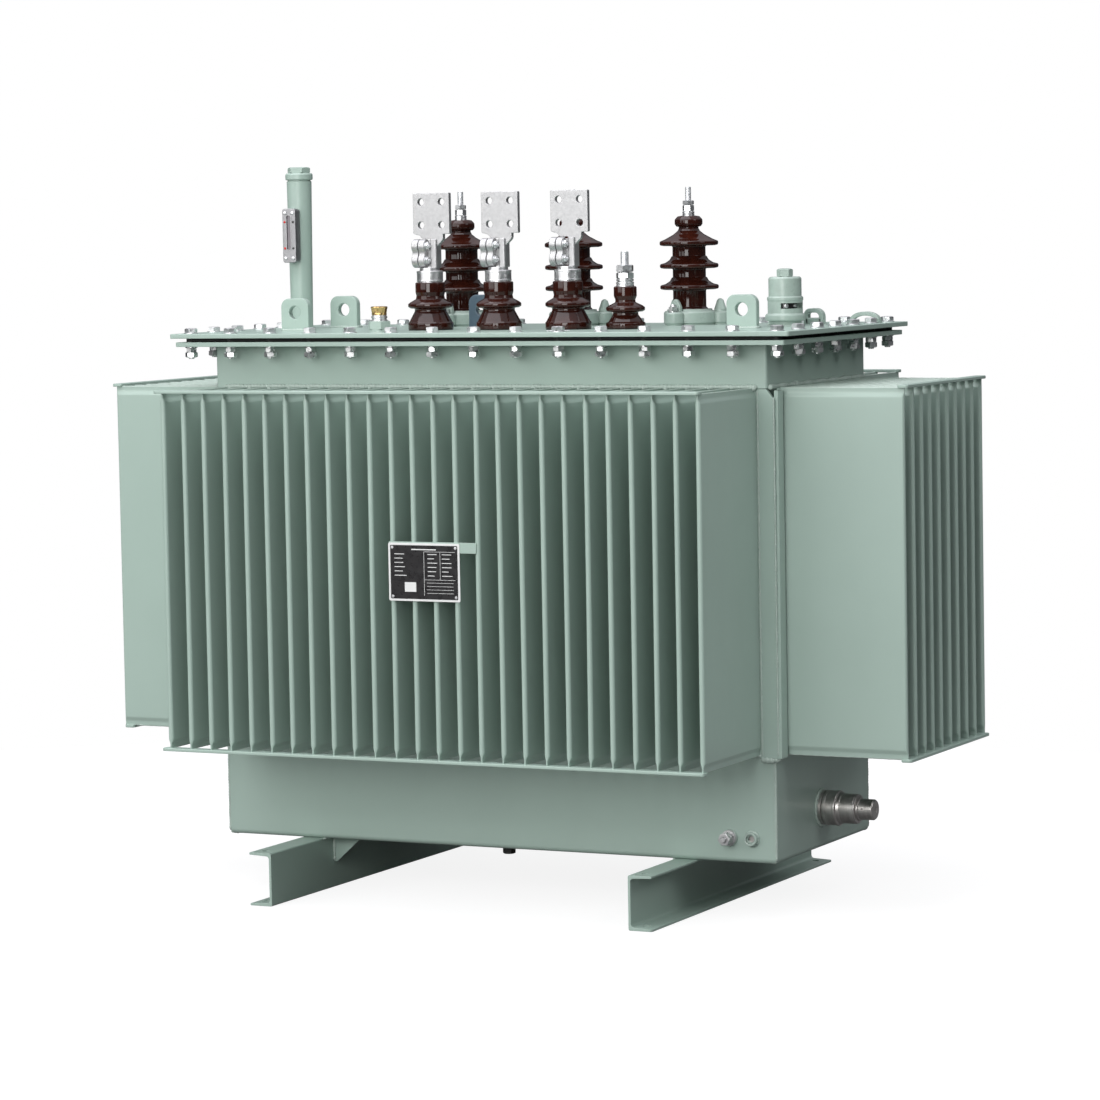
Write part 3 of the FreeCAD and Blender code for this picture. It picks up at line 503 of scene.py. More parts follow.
def metal(name, c, rough=0.3, grain=240.0, bump=0.10, lo=0.85, hi=1.08, stretch=(1, 1, 1), stain=None, dist=0.0004):
    s = Shader(name)
    col = s.ramp(s.noise(grain * 0.35, 4, 0.6, stretch), [(0.28, tint(c, lo)), (0.72, tint(c, hi))])
    if stain is not None:
        spot = s.ramp(s.noise(22.0, 5, 0.65, (1, 1, 1), 4.0), [(0.50, (0, 0, 0)), (0.72, (1, 1, 1))])
        col = s.mix(s.span(spot, 0.0, 0.6, 0, 1), col, stain)
    ro = s.span(s.noise(grain * 0.5, 4, 0.6, stretch, 3.0), rough - 0.08, rough + 0.12)
    n = s.bump(s.noise(grain, 3, 0.6, stretch, 1.0), bump, dist)
    return s.done(col, ro, n, 1.0)


def plain(name, c, rough=0.5, k=0.12, bump=0.15, scale=260.0, metallic=0.0, coat=0.0, spec=0.5):
    s = Shader(name)
    col = s.ramp(s.noise(scale * 0.2, 4, 0.6), [(0.30, tint(c, 1 - k)), (0.70, tint(c, 1 + k))])
    ro = s.span(s.noise(scale * 0.4, 3, 0.5, (1, 1, 1), 3.0), rough - 0.06, rough + 0.08)
    n = s.bump(s.noise(scale, 3, 0.5), bump, 0.0005)
    return s.done(col, ro, n, metallic, coat, 0.08, spec)


PAINT = paint("grey_green_enamel", rgb(160, 180, 170))
# a darker copy of the same enamel: painted shade for the tank body seen deep in the fin gaps
PAINT_SHADED_BODY = paint("grey_green_enamel_painted_shade", rgb(84, 100, 92), 0.5, 0.0)
CAST = cast_paint("grey_green_casting", rgb(161, 178, 169))
# a darker, bluer copy of the casting enamel: painted shade with a cool painted reflection on the middle lug
LUG_PAINT_SHADED = cast_paint("grey_green_casting_painted_shade", rgb(84, 103, 116))
# a lighter copy of the enamel for the weld runs: painted highlight on the beads
WELD_PAINT_LIT = cast_paint("grey_green_weld_painted_highlight", rgb(170, 186, 177))
PORC = porcelain("brown_glaze")
ZINC = metal("bright_zinc", (0.82, 0.83, 0.84, 1), 0.34, 300.0, 0.04)
DULLZ = metal("dull_zinc", (0.78, 0.79, 0.79, 1), 0.30, 260.0, 0.08, 0.82, 1.08)
ALU = metal("cast_aluminium", (0.53, 0.53, 0.535, 1), 0.48, 420.0, 0.16, 0.92, 1.05, (1, 1, 1), None, 0.0005)
CAPALU = metal("machined_aluminium", (0.78, 0.78, 0.79, 1), 0.34, 300.0, 0.02, 0.96, 1.03)
STEEL = metal("worn_steel", rgb(196, 193, 190), 0.36, 200.0, 0.14, 0.84, 1.10, (3, 0.6, 0.6), rgb(160, 155, 150))
BRASS = metal("brass", (0.80, 0.55, 0.24, 1), 0.20, 260.0, 0.08, 0.80, 1.08)
RUBBER = plain("black_rubber", (0.014, 0.014, 0.014, 1), 0.62, 0.3, 0.30)
BLACK = plain("black_enamel", (0.016, 0.015, 0.016, 1), 0.28, 0.2, 0.06, 200.0, 0.0, 0.4)
DARK = plain("dark_steel", (0.045, 0.045, 0.042, 1), 0.42, 0.25, 0.2)
WHITE = plain("white_enamel", (0.72, 0.73, 0.72, 1), 0.40, 0.04, 0.05)
RED = plain("red_enamel", (0.55, 0.020, 0.016, 1), 0.36, 0.10, 0.05, 160.0)
GLASS = plain("dark_gauge_glass", rgb(92, 84, 92), 0.12, 0.2, 0.02, 120.0, 0.0, 1.0)
GAUGE = metal("gauge_metal", (0.40, 0.40, 0.41, 1), 0.45, 240.0, 0.08, 0.85, 1.06)

# ------------------------------------------------------------------ levels from the CAD frame (millimetres)
def box_mm(node):
    lo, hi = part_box(node)
    return lo * 1000, hi * 1000


base_lo, base_hi = box_mm("tank_base")
col_lo, col_hi = box_mm("tank_collar")
fl_lo, fl_hi = box_mm("tank_flange")
gk_lo, gk_hi = box_mm("cover_gasket")
cv_lo, cv_hi = box_mm("tank_cover")
ZC = cv_hi.z
Z0F, Z1F = base_hi.z, col_lo.z

# ------------------------------------------------------------------ tank
m = Mesh()
rbox(m, base_hi.x, base_hi.y, base_lo.z, base_hi.z, 7, 10, 2, 6)
piece("tank_base_box", m, PAINT, ["tank_base"], "paint", sharp=50)

m = Mesh()
for sx in (-1, 1):
    for sy in (-1, 1):
        x, y = sx * (base_hi.x - 2.6), sy * (base_hi.y - 2.6)
        bead(m, [(x, y, base_lo.z + 6), (x, y, base_hi.z - 1)], 3.2, 11 + sx + 3 * sy, 2.0, 0.10)
        bead(m, [(x, y, base_lo.z + 9), (x - sx * 3, y - sy * 3, base_lo.z + 3), (x - sx * 16, y - sy * 14, base_lo.z + 1)],
             3.0, 5 + sx + 3 * sy, 2.0, 0.2)
piece("base_corner_welds", m, WELD_PAINT_LIT, (), "paint", sharp=80)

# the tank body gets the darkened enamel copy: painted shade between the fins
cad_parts["tank_body"].data.materials.clear()
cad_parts["tank_body"].data.materials.append(PAINT_SHADED_BODY)

m = Mesh()
rbox(m, col_hi.x, col_hi.y, col_lo.z, col_hi.z, 5, 1.2, 0.6, 5)
piece("collar_band", m, PAINT, ["tank_collar"], "paint", sharp=50)
m = Mesh()
rbox(m, fl_hi.x, fl_hi.y, fl_lo.z, fl_hi.z, 3.5, 1.0, 1.0, 4)
piece("flange_frame", m, PAINT, ["tank_flange"], "paint", sharp=50)
m = Mesh()
hx, hy = gk_hi.x, gk_hi.y
loft(m, [[(a, b, z) for a, b in rr(hx - i, hy - i, 8, 5)] for i, z in
         ((2.5, gk_lo.z), (0.8, gk_lo.z + 1.6), (0, (gk_lo.z + gk_hi.z) / 2), (0.8, gk_hi.z - 1.6), (2.5, gk_hi.z))])
piece("cover_seal", m, RUBBER, ["cover_gasket"], "gasket", sharp=60)
m = Mesh()
rbox(m, cv_hi.x, cv_hi.y, cv_lo.z, cv_hi.z, 6, 1.1, 1.3, 5)
piece("cover_plate", m, PAINT, ["tank_cover"], "paint", sharp=50)


# ------------------------------------------------------------------ corrugated walls
def smooth(t):
    t = max(0.0, min(1.0, t))
    return t * t * (3 - 2 * t)


def corrugated(name, node, count, half_len, reach, back, xf, seed):
    """One folded sheet. In its own frame x runs along the wall and y points outwards from the wall plane."""
    rnd = random.Random(seed)
    z0, z1 = Z0F, Z1F
    full, seam, pitch, rf = 5.3, 1.7, 45.0, 4.5
    zs = [z0, z0 + 3.5, z0 + 6.5, z0 + 8.3, z0 + 10.2, z0 + 12, z0 + 13.8, z0 + 15.7, z0 + 17.5, z0 + 40]
    mid = [z0 + 40 + (z1 - z0 - 80) * k / 7 for k in range(1, 7)]
    zs = zs + mid + [z1 + z0 - z for z in reversed(zs)]
    top_t = [smooth((min(z - z0, z1 - z) - 6.5) / 11.0) for z in zs]
    start = -pitch * (count - 1) / 2
    m = Mesh()
    rows = []
    fins = []
    for i in range(count):
        fins.append((start + i * pitch, rnd.uniform(-0.7, 0.7), rnd.uniform(-0.6, 0.6), rnd.uniform(0, 6),
                     rnd.uniform(0.1, 0.5)))
    arc = 5
    for z, t in zip(zs, top_t):
        h = seam + (full - seam) * t
        row = [(-half_len, -back, z), (-half_len, 0, z)]
        fz = (z - z0) / (z1 - z0)
        for xc, lean, wob, ph, dish in fins:
            dx = lean * math.sin(math.pi * fz + ph) * t
            left = []
            for k in range(4):
                a = math.radians(-90 + 30 * k)
                left.append((-h - rf + rf * math.cos(a), rf + rf * math.sin(a)))
            for k in range(1, 5):
                f = k / 5
                bow = dish * math.sin(math.pi * f) * math.sin(math.pi * fz) * t
                left.append((-h + bow, rf + (reach - h - rf) * f))
            for k in range(arc + 1):
                a = math.radians(180 - 90 * k / arc)
                left.append((h * math.cos(a), reach - h + h * math.sin(a)))
            side = left + [(-a, b) for a, b in reversed(left[:-1])]
            for a, b in side:
                w = b / reach
                row.append((xc + a + dx * w, b + (wob * w * t if b < reach - h else wob * t), z))
        row += [(half_len, 0, z), (half_len, -back, z)]
        rows.append(row)
    n = len(rows[0])
    v = [p for r in rows for p in r]
    f = []
    for i in range(len(rows) - 1):
        for k in range(n):
            j = (k + 1) % n
            f.append((i * n + k, i * n + j, (i + 1) * n + j, (i + 1) * n + k))
    per = (n - 4) // count
    half = per // 2
    for base in (0, (len(rows) - 1) * n):
        prev_root, prev_back = base + 1, base + 0
        for i in range(count):
            o = base + 2 + i * per
            for k in range(half):
                a, b, c, d = o + k, o + k + 1, o + per - 2 - k, o + per - 1 - k
                f.append((a, b, d) if b == c else (a, b, c, d))
        ring = [base]
        ring.append(base + 1)
        for i in range(count):
            ring += [base + 2 + i * per, base + 2 + i * per + per - 1]
        ring += [base + n - 2, base + n - 1]
        f.append(tuple(ring))
    m.add(v, f, xf)
    return piece(name, m, PAINT, [node], "paint", sharp=48), fins


FRONT_WALL, SIDE_WALL = 239.0, 603.0
TIP_Y, TIP_X = 495.0, 848.0
_, fins_front = corrugated("fins_front", "fin_wall_front", 26, 569, TIP_Y - FRONT_WALL, 8, at(0, -FRONT_WALL, 0, rz=180), 1)
_, fins_back = corrugated("fins_back", "fin_wall_back", 26, 569, TIP_Y - FRONT_WALL, 8, at(0, FRONT_WALL, 0), 2)
_, fins_right = corrugated("fins_right", "fin_wall_right", 10, 213, TIP_X - SIDE_WALL, 9, at(SIDE_WALL, 0, 0, rz=-90), 3)
_, fins_left = corrugated("fins_left", "fin_wall_left", 10, 213, TIP_X - SIDE_WALL, 9, at(-SIDE_WALL, 0, 0, rz=90), 4)

# fin seams: each pinched end is closed by a thin weld along its whole length
for nm, count, wall, tip, rz in (("front", 26, FRONT_WALL, TIP_Y, 180), ("back", 26, FRONT_WALL, TIP_Y, 0),
                                 ("right", 10, SIDE_WALL, TIP_X, -90), ("left", 10, SIDE_WALL, TIP_X, 90)):
    m = Mesh()
    rot = Matrix.Rotation(math.radians(rz), 4, "Z")
    for i in range(count):
        x = -45 * (count - 1) / 2 + 45 * i
        for z, r in ((Z1F, 1.9), (Z0F, 1.9)):
            bead(m, [rot @ Vector((x, wall - 2, z)), rot @ Vector((x, tip - 2.5, z))], r, 100 + i, 7.0, 0.10, 5)
    piece("fin_seams_" + nm, m, WELD_PAINT_LIT, (), "paint", sharp=80)

# bars welded across the fin tips
for nm in ("front", "back", "right", "left"):
    lo, hi = box_mm("tip_bars_" + nm)
    cx, cy = (lo.x + hi.x) / 2, (lo.y + hi.y) / 2
    wx, wy = (hi.x - lo.x) / 2, (hi.y - lo.y) / 2
    m = Mesh()
    for za, zb in ((Z1F, hi.z), (lo.z, Z0F)):
        if nm == "left":
            dx = 11.0 if za > 600 else 11.0 + 8.0
            plate(m, [(lo.x + dx + a, cy + b) for a, b in rr(11.0, wy, 6, 5)], (), zb - za, 1.3, 3, at(0, 0, (za + zb) / 2))
        else:
            plate(m, [(cx + a, cy + b) for a, b in rr(wx, wy, 6, 5)], (), zb - za, 1.3, 3, at(0, 0, (za + zb) / 2))
    piece("tip_bar_" + nm, m, PAINT, ["tip_bars_" + nm], "paint", sharp=55)

# weld runs where the fin walls meet the collar and the base
m = Mesh()
rnd = random.Random(9)
cyl_y = col_hi.y
for sy in (-1, 1):
    bead(m, [(-572, sy * (cyl_y + 0.5), Z1F + 3), (572, sy * (cyl_y + 0.5), Z1F + 3)], 4.6, 21 + sy, 2.6, 0.20, 8)
    bead(m, [(-572, sy * (FRONT_WALL - 2), Z0F - 1), (572, sy * (FRONT_WALL - 2), Z0F - 1)], 4.0, 24 + sy, 3.0, 0.18, 7)
    for i in range(26):
        x = -562.5 + 45 * i + rnd.uniform(-1, 1)
        bead(m, [(x - 7, sy * (cyl_y + 1.5), Z1F + 1.5), (x, sy * (cyl_y + 4.5), Z1F - 1.0 + rnd.uniform(-1, 1)),
                 (x + 7, sy * (cyl_y + 1.5), Z1F + 1.5)], 4.0 + rnd.uniform(-0.5, 0.8), 40 + i, 2.4, 0.18, 7)
for sx in (-1, 1):
    bead(m, [(sx * 593.5, -236, Z1F + 2.5), (sx * 593.5, 236, Z1F + 2.5)], 5.0, 31 + sx, 3.6, 0.34, 8)
    bead(m, [(sx * (SIDE_WALL - 4), -213, Z0F - 1), (sx * (SIDE_WALL - 4), 213, Z0F - 1)], 4.0, 34 + sx, 3.0, 0.18, 7)
piece("wall_welds", m, WELD_PAINT_LIT, (), "paint", sharp=80)

# corner posts
m = Mesh()
w = Mesh()
for sx in (-1, 1):
    for sy in (-1, 1):
        def put(x0, x1, y0, y1, z0, z1, r, cut):
            cx, cy = sx * (x0 + x1) / 2, sy * (y0 + y1) / 2
            rbox(m, (x1 - x0) / 2, (y1 - y0) / 2, z0, z1, r, 1.0, 1.0, 3, at(cx, cy, 0))
        # the end plate, whose outer top corner is cut off at 45 degrees
        top = Z1F - 0.5
        out = round_poly([(568, Z0F - 5, 1.5), (604, Z0F - 5, 1.5), (604, top - 20, 2), (588, top, 2), (568, top, 1.5)], 3)
        plate(m, [(sx * a, b) for a, b in out], (), 9, 1.0, 2, at(0, sy * 236.0, 0, rx=90))
        out = round_poly([(212, Z0F - 5, 1.5), (241, Z0F - 5, 1.5), (236.5, top - 3, 1), (236, top - 3, 1), (212, top - 3, 1.5)], 3)
        plate(m, [(sy * a, b) for a, b in out], (), 8.5, 1.0, 2, at(sx * 606.5, 0, 0) @ Matrix.Rotation(math.radians(90), 4, "Z") @ Matrix.Rotation(math.radians(90), 4, "X"))
        bead(w, [(sx * 603.5, sy * 241.2, Z0F), (sx * 603.5, sy * 241.2, top - 16)], 2.1, 60 + sx + 3 * sy, 2.6, 0.28, 6)
        bead(w, [(sx * 571, sy * 240.5, Z0F - 2), (sx * 571, sy * 240.5, top - 2)], 2.2, 70 + sx + 3 * sy, 4.0, 0.2, 6)
        bead(w, [(sx * 566, sy * 235, Z0F - 7), (sx * 585, sy * 236, Z0F - 9), (sx * 606, sy * 235, Z0F - 6)], 6.2, 80 + sx + 3 * sy,
             3.0, 0.24, 8)
        bead(w, [(sx * 597, sy * 234, Z0F - 6), (sx * 598, sy * 212, Z0F - 6)], 5.5, 90 + sx + 3 * sy, 3.0, 0.22, 8)
piece("corner_angles", m, PAINT, ["corner_posts"], "paint", sharp=50)
piece("corner_welds", w, WELD_PAINT_LIT, (), "paint", sharp=80)

# ------------------------------------------------------------------ cover bolts
m = Mesh()
bush = Mesh()
rnd = random.Random(5)
spots = [(-627 + 89.57 * i, sy * 275.0) for sy in (-1, 1) for i in range(15)]
spots += [(sx * 630.0, -271.5 + 90.5 * j) for sx in (-1, 1) for j in range(1, 6)]
corner = {0, 14, 15, 29}
zu = fl_lo.z
for i, (x, y) in enumerate(spots):
    a = rnd.uniform(0, 1.0)
    lathe(m, [(0, 0), (13.6, 0), (14, 0.4), (14, 1.7), (13.4, 2.1), (0, 2.1)], x, y, ZC, 24)
    hexnut(m, 22, 8.6, at(x, y, ZC + 2.1), 0.90, 0.97, 4, 0, a, 0.25)
    lathe(m, [(0, 0), (11.6, 0), (12, -0.4), (12, -2.1), (11.6, -2.5), (0, -2.5)], x, y, zu, 24, None, 1)
    hexnut(m, 18.5, 8.5, at(x, y, zu - 11.0), 0.95, 0.94, 4, 1, a + 0.3)
    hexnut(m, 21.5, 10.5, at(x, y, zu - 21.5), 0.95, 0.86, 4, 1, a + 0.8)
    lathe(m, [(0, 0), (5.8, 0), (5.8, -1.4), (4.8, -2.6), (0, -2.6)], x, y, zu - 21.5, 16, None, 1)
    lathe(bush, [(0, gk_lo.z + 0.1), (9.5 if i in corner else 7.5, gk_lo.z + 0.1), (9.5 if i in corner else 7.5, gk_hi.z - 0.1), (0, gk_hi.z - 0.1)],
          x, y, 0, 20)
piece("cover_bolts", m, [ZINC, DULLZ], (), "zinc", sharp=30)
piece("cover_bolt_bushes", bush, RUBBER, (), "gasket")

# ------------------------------------------------------------------ low-voltage bushings
lv_lo, lv_hi = box_mm("lv_bushings")
LVY = (lv_lo.y + lv_hi.y) / 2
LVX = [(lv_lo.x + lv_hi.x) / 2 + d for d in (-150, 0, 150)]
LV_PROF = soft([(0, 1103.4), (44.6, 1103.4, 1.5), (44.6, 1115.5, 2.2), (42.2, 1118.2, 1.2), (31.2, 1138.6, 4), (31, 1144, 2.5),
                (39, 1144.6, 1), (44, 1147.4, 3.2), (44, 1153.2, 3.2), (39.5, 1156.6, 2.5), (28.6, 1162.6, 2), (27.2, 1168.8, 3),
                (29, 1176, 3), (29, 1193.6, 1.4), (27, 1195.2, 1), (0, 1195.2)], 5)
po = Mesh()
cp = Mesh()
seat = Mesh()
for x in LVX:
    lathe(po, LV_PROF, x, LVY, 0, 80)
    lathe(seat, soft([(0, ZC - 0.5), (43.5, ZC - 0.5), (43.5, 1103.2, 0.6), (0, 1103.2)], 2), x, LVY, 0, 48)
    lathe(cp, soft([(0, 1194.6), (24.4, 1194.6), (24.4, 1196.4), (26, 1196.4, 0.8), (26, 1199, 0.4), (25.6, 1199.4, 0.3),
                    (25.6, 1213.4, 0.3), (26, 1213.8, 0.4), (26, 1217.0, 1.0), (22, 1217.8, 0.8), (19.6, 1218.2), (19.6, 1223.6, 0.8),
                    (0, 1223.6)], 3), x, LVY, 0, 64)
piece("lv_porcelain", po, PORC, ["lv_bushings"], "porcelain", sharp=60)
piece("bushing_seats", seat, RUBBER, (), "gasket")
piece("lv_cap_rings", cp, CAPALU, ["lv_caps"], "cast_aluminium", sharp=40)

pm = Mesh()
bm_ = Mesh()
for x in LVX:
    px = x + 8
    outer = round_poly([(-39.8, 1290, 2.5), (-27, 1287, 4), (-20, 1280, 2), (-3, 1280, 1), (-3, 1262, 1), (12.2, 1262, 1), (12.6, 1266, 3), (24, 1277, 4),
                        (25.5, 1281, 2), (25.5, 1289, 1.2), (39.8, 1289, 2.5), (39.8, 1369.4, 2.2), (-39.8, 1369.4, 2.2)], 4)
    holes = [disc_pts(sx * 22.5, 1329.2 + sz * 22.5, 7, 32) for sx in (-1, 1) for sz in (-1, 1)]
    plate(pm, outer, holes, 10, 0.8, 3, at(px, LVY - 1, 0, rx=90))
    # clamp: two jaw plates with paired barrels on the left, one plain block on the right
    for x0, x1 in ((-28.6, -15.1), (-14.2, -0.7)):
        prof = []
        for cz, a0, a1 in ((1265.6, -50, 230), (1237.8, 130, 410)):
            for k in range(22):
                a = math.radians(a0 + (a1 - a0) * k / 21)
                prof.append((14.2 * math.cos(a), cz + 14.2 * math.sin(a)))
        plate(pm, prof, (), x1 - x0, 1.8, 3, at(x + (x0 + x1) / 2, LVY - 9, 0) @ Matrix.Rotation(math.radians(90), 4, "Z") @ Matrix.Rotation(math.radians(90), 4, "X"))
    rbox(pm, 6, 9, 1226, 1277, 2, 1, 1, 3, at(x + 1.4, LVY + 4, 0))
    rbox(pm, 7.0, 12.0, 1223.2, 1279.2, 3.4, 1.2, 1.4, 5, at(x + 13.4, LVY + 1.6, 0))
    for cz in (1265.6, 1237.8):
        ax = at(x - 0.9, LVY - 12.6, cz, ry=90)
        lathe(bm_, [(0, 0), (8.6, 0), (8.6, 1.5), (0, 1.5)], xf=ax, seg=24)
        hexnut(bm_, 13, 5.2, ax @ at(0, 0, 1.5), 0.9, 0.97, 4, 0, 0.3)
        thread(bm_, 3.9, 5, 9.0, 1.25, 0.4, 16, ax)
        ax2 = at(x - 27.4, LVY - 10.0, cz, ry=-90)
        lathe(bm_, soft([(0, -1), (8.2, -1), (8.2, 2.4, 1.0), (0, 2.6)], 3), xf=ax2, seg=24)
piece("lv_palm_clamps", pm, ALU, ["lv_terminals"], "cast_aluminium", sharp=42)
piece("lv_clamp_bolts", bm_, ZINC, (), "zinc", sharp=30)

# ------------------------------------------------------------------ neutral bushing
NX = (box_mm("neutral_bushing")[0].x + box_mm("neutral_bushing")[1].x) / 2
m = Mesh()
lathe(m, soft([(0, 1103.4), (38.2, 1103.4, 1.5), (38.2, 1113.4, 2), (33.4, 1116, 1.2), (24.8, 1128.6, 3.5), (24, 1134.5, 2),
               (33, 1134.9, 1), (37.5, 1137.4, 3), (37.5, 1143.2, 3), (33, 1146.5, 2), (19.6, 1153.0, 2), (19.2, 1157.5, 2), (22, 1165, 3),
               (22, 1181.5, 1.4), (20, 1183.4, 1), (0, 1183.4)], 5), NX, LVY, 0, 72)
piece("neutral_porcelain", m, PORC, ["neutral_bushing"], "porcelain", sharp=60)
m = Mesh()
lathe(m, soft([(0, 1182.6), (17.2, 1182.6), (17.2, 1186.6, 0.8), (16.0, 1186.9), (16.0, 1187.5), (17.2, 1187.8, 0.8), (17.2, 1191.6, 0.8),
               (14.5, 1192), (14.5, 1193), (16.6, 1193.2, 0.6), (16.6, 1197.4, 0.6), (0, 1197.4)], 2), NX, LVY, 0, 40)
hexnut(m, 30, 12.4, at(NX, LVY, 1197.6), 0.93, 0.93, 4, 0, 0.2)
hexnut(m, 30, 13.4, at(NX, LVY, 1210.8), 0.93, 0.93, 4, 0, 0.75)
thread(m, 7.9, 1205, 1250, 2.0, 0.7, 24, x=NX, y=LVY)
piece("neutral_stud_nuts", m, ZINC, ["neutral_terminal"], "zinc", sharp=30)
m = Mesh()
lathe(m, soft([(0, ZC - 0.5), (37, ZC - 0.5), (37, 1103.2, 0.6), (0, 1103.2)], 2), NX, LVY, 0, 48)
piece("neutral_seat", m, RUBBER, (), "gasket")

# ------------------------------------------------------------------ high-voltage bushings
hv_lo, hv_hi = box_mm("hv_bushings")
HVY = 148.0
HVX = [(hv_lo.x + hv_hi.x) / 2 + d for d in (-252, 0, 252)]
HV_PROF = [(0, 1128), (35.5, 1128, 1), (35.5, 1134.5, 2.2), (32.6, 1137.6, 1.6)]
for z in (1178.0, 1219.6):
    HV_PROF += [(32.5, z - 7.2, 2.5), (50, z - 6.8, 4), (57.6, z - 5.4, 3.4), (57.6, z + 1.9, 3.4), (47, z + 4.6, 9), (38.4, z + 10.2, 6),
                (35.4, z + 15.6, 1.2), (34.6, z + 17.0, 0.8), (32.6, z + 17.6, 1)]
HV_PROF += [(32.5, 1256.8, 2.5), (50, 1257.2, 4), (57.6, 1258.6, 3.4), (57.6, 1265.9, 3.4), (47, 1270.2, 10), (30, 1279.6, 12), (22, 1286.4, 3),
            (19.4, 1291.2, 1), (19.4, 1294.2, 1), (24, 1295.0, 1.2), (27.4, 1299.4, 5), (27.4, 1308.4, 6), (21.6, 1314.8, 3), (14, 1316, 1),
            (0, 1316)]
po = Mesh()
for x in HVX:
    lathe(po, soft(HV_PROF, 5), x, HVY, 0, 88)
piece("hv_porcelain", po, PORC, ["hv_bushings"], "porcelain", sharp=60)

m = Mesh()
for i, x in enumerate(HVX):
    lathe(m, soft([(0, 1314.6), (11.8, 1314.6), (11.8, 1319, 0.8), (11.0, 1319.3), (11.0, 1320), (11.8, 1320.3), (11.8, 1324.4, 0.8), (0, 1324.4)], 2),
          x, HVY, 0, 32)
    hexnut(m, 20, 12.4, at(x, HVY, 1324.5), 0.93, 0.93, 4, 0, 0.3 + i)
    hexnut(m, 20, 8.4, at(x, HVY, 1337.4), 0.93, 0.93, 4, 0, 0.8 + i)
    thread(m, 5.9, 1330, 1372.6, 1.75, 0.6, 22, x=x, y=HVY)
piece("hv_stud_nuts", m, ZINC, ["hv_terminals"], "zinc", sharp=30)

cl = Mesh()
nu = Mesh()
for i, x in enumerate(HVX):
    lathe(cl, soft([(0, ZC - 0.5), (49, ZC - 0.5), (48.6, 1104.5, 0.8), (51.4, 1106, 2), (51.4, 1126, 3), (48.5, 1129.6, 2), (44.5, 1130.2, 1),
                    (44, 1133.4, 1), (37.2, 1133.4, 1), (36.8, 1129, 1), (0, 1129)], 3), x, HVY, 0, 72)
    for j, ang in enumerate((-97, 23, 143)):
        a = math.radians(ang)
        ux, uy = math.cos(a), math.sin(a)
        lx, ly = x + 58 * ux, HVY + 58 * uy
        lathe(cl, soft([(0, ZC - 0.5), (15.5, ZC - 0.5), (15.5, 1104.6, 0.6), (17.6, 1106.5, 2), (17.6, 1125.4, 3), (14.6, 1128.2, 1.5), (0, 1128.2)], 3),
              lx, ly, 0, 40)
        rot = at(lx, ly, 0, rz=ang)
        rbox(cl, 10, 8.6, ZC - 0.4, 1115, 3, 1, 3, 3, rot @ at(-12, 0, 0))
        if j == 0:
            # hooked jaw that stands behind the nut
            arch = [(-11.5, 1126), (11.5, 1126)]
            for k in range(15):
                t = k / 14
                arch.append((11.5 - 23 * t, 1138 + 15.5 * math.sin(math.pi * t) ** 0.8))
            plate(cl, round_poly([(a_, b_, 0.6) for a_, b_ in arch], 2), (), 9, 1.8, 3, rot @ at(-7, 0, 0) @ Matrix.Rotation(math.radians(90), 4, "Z") @ Matrix.Rotation(math.radians(90), 4, "X"))
            lathe(nu, [(0, 1128), (10.6, 1128), (10.6, 1130.2), (0, 1130.2)], xf=rot @ at(5, 0, 0), seg=24)
            hexnut(nu, 16.5, 8.6, rot @ at(5, 0, 1130.2), 0.92, 0.95, 4, 0, 0.4)
            thread(nu, 4.9, 1130, 1143.5, 1.5, 0.5, 16, rot @ at(5, 0, 0))
        else:
            lathe(cl, soft([(0, 1127), (12.2, 1127), (12.2, 1132.5, 2), (10.6, 1137, 2), (6.4, 1149.6, 3), (2.8, 1152.8, 1.2), (0, 1153.2)], 4), lx + 2 * ux,
                  ly + 2 * uy, 0, 32)
piece("hv_clamp_castings", cl, CAST, ["hv_clamp_rings"], "paint", sharp=50)
piece("hv_clamp_nuts", nu, DULLZ, (), "zinc", sharp=30)

# ------------------------------------------------------------------ filler tube, cap and level gauge
lo, hi = box_mm("filler_cap")
TX, TY = (lo.x + hi.x) / 2, (lo.y + hi.y) / 2
m = Mesh()
lathe(m, soft([(0, ZC - 1), (22, ZC - 1), (22.6, 1160), (25.2, 1399.4, 0.8), (23.4, 1400.4), (23.4, 1403.4), (0, 1403.4)], 3), TX, TY, 0, 64)
ring_bead(m, TX, TY, ZC + 1.2, 23.2, 3.6, 3)
piece("filler_pipe", m, PAINT, ["filler_tube"], "paint", sharp=55)
m = Mesh()
lathe(m, soft([(0, 1402.6), (26.4, 1402.6, 0.8), (27.7, 1404.4, 0.8), (27.7, 1413.6, 1.6), (25.4, 1416.2, 1.2), (22.4, 1416.4), (0, 1416.4)], 3), TX, TY, 0, 64)
hexnut(m, 41, 12.2, at(TX, TY, 1416.2), 0.94, 1.0, 5, 0, 0.25)
piece("filler_lid", m, PAINT, ["filler_cap"], "paint", sharp=36)

glo, ghi = box_mm("level_gauge")
gx, gw = (glo.x + ghi.x) / 2, (ghi.x - glo.x) / 2
m = Mesh()
body = [(-gw, glo.z, 5), (gw, glo.z, 5), (gw, ghi.z, 5), (-gw, ghi.z, 5)]
slot = round_poly([(-5.2, 1262, 3), (3.8, 1262, 3), (3.8, 1331, 3), (-5.2, 1331, 3)], 4)
plate(m, round_poly(body, 5), [slot], 12, 1.2, 3, at(gx, glo.y + 6, 0, rx=90))
plate(m, round_poly([(-gw + 1, glo.z + 1, 5), (gw - 1, glo.z + 1, 5), (gw - 1, ghi.z - 1, 5), (-gw + 1, ghi.z - 1, 5)], 5), (), 10, 1.0, 2,
      at(gx, glo.y + 16.5, 0, rx=90))
rbox(m, 9, 6, glo.z + 8, ghi.z - 8, 3, 1, 1, 3, at(gx, glo.y + 24.5, 0))
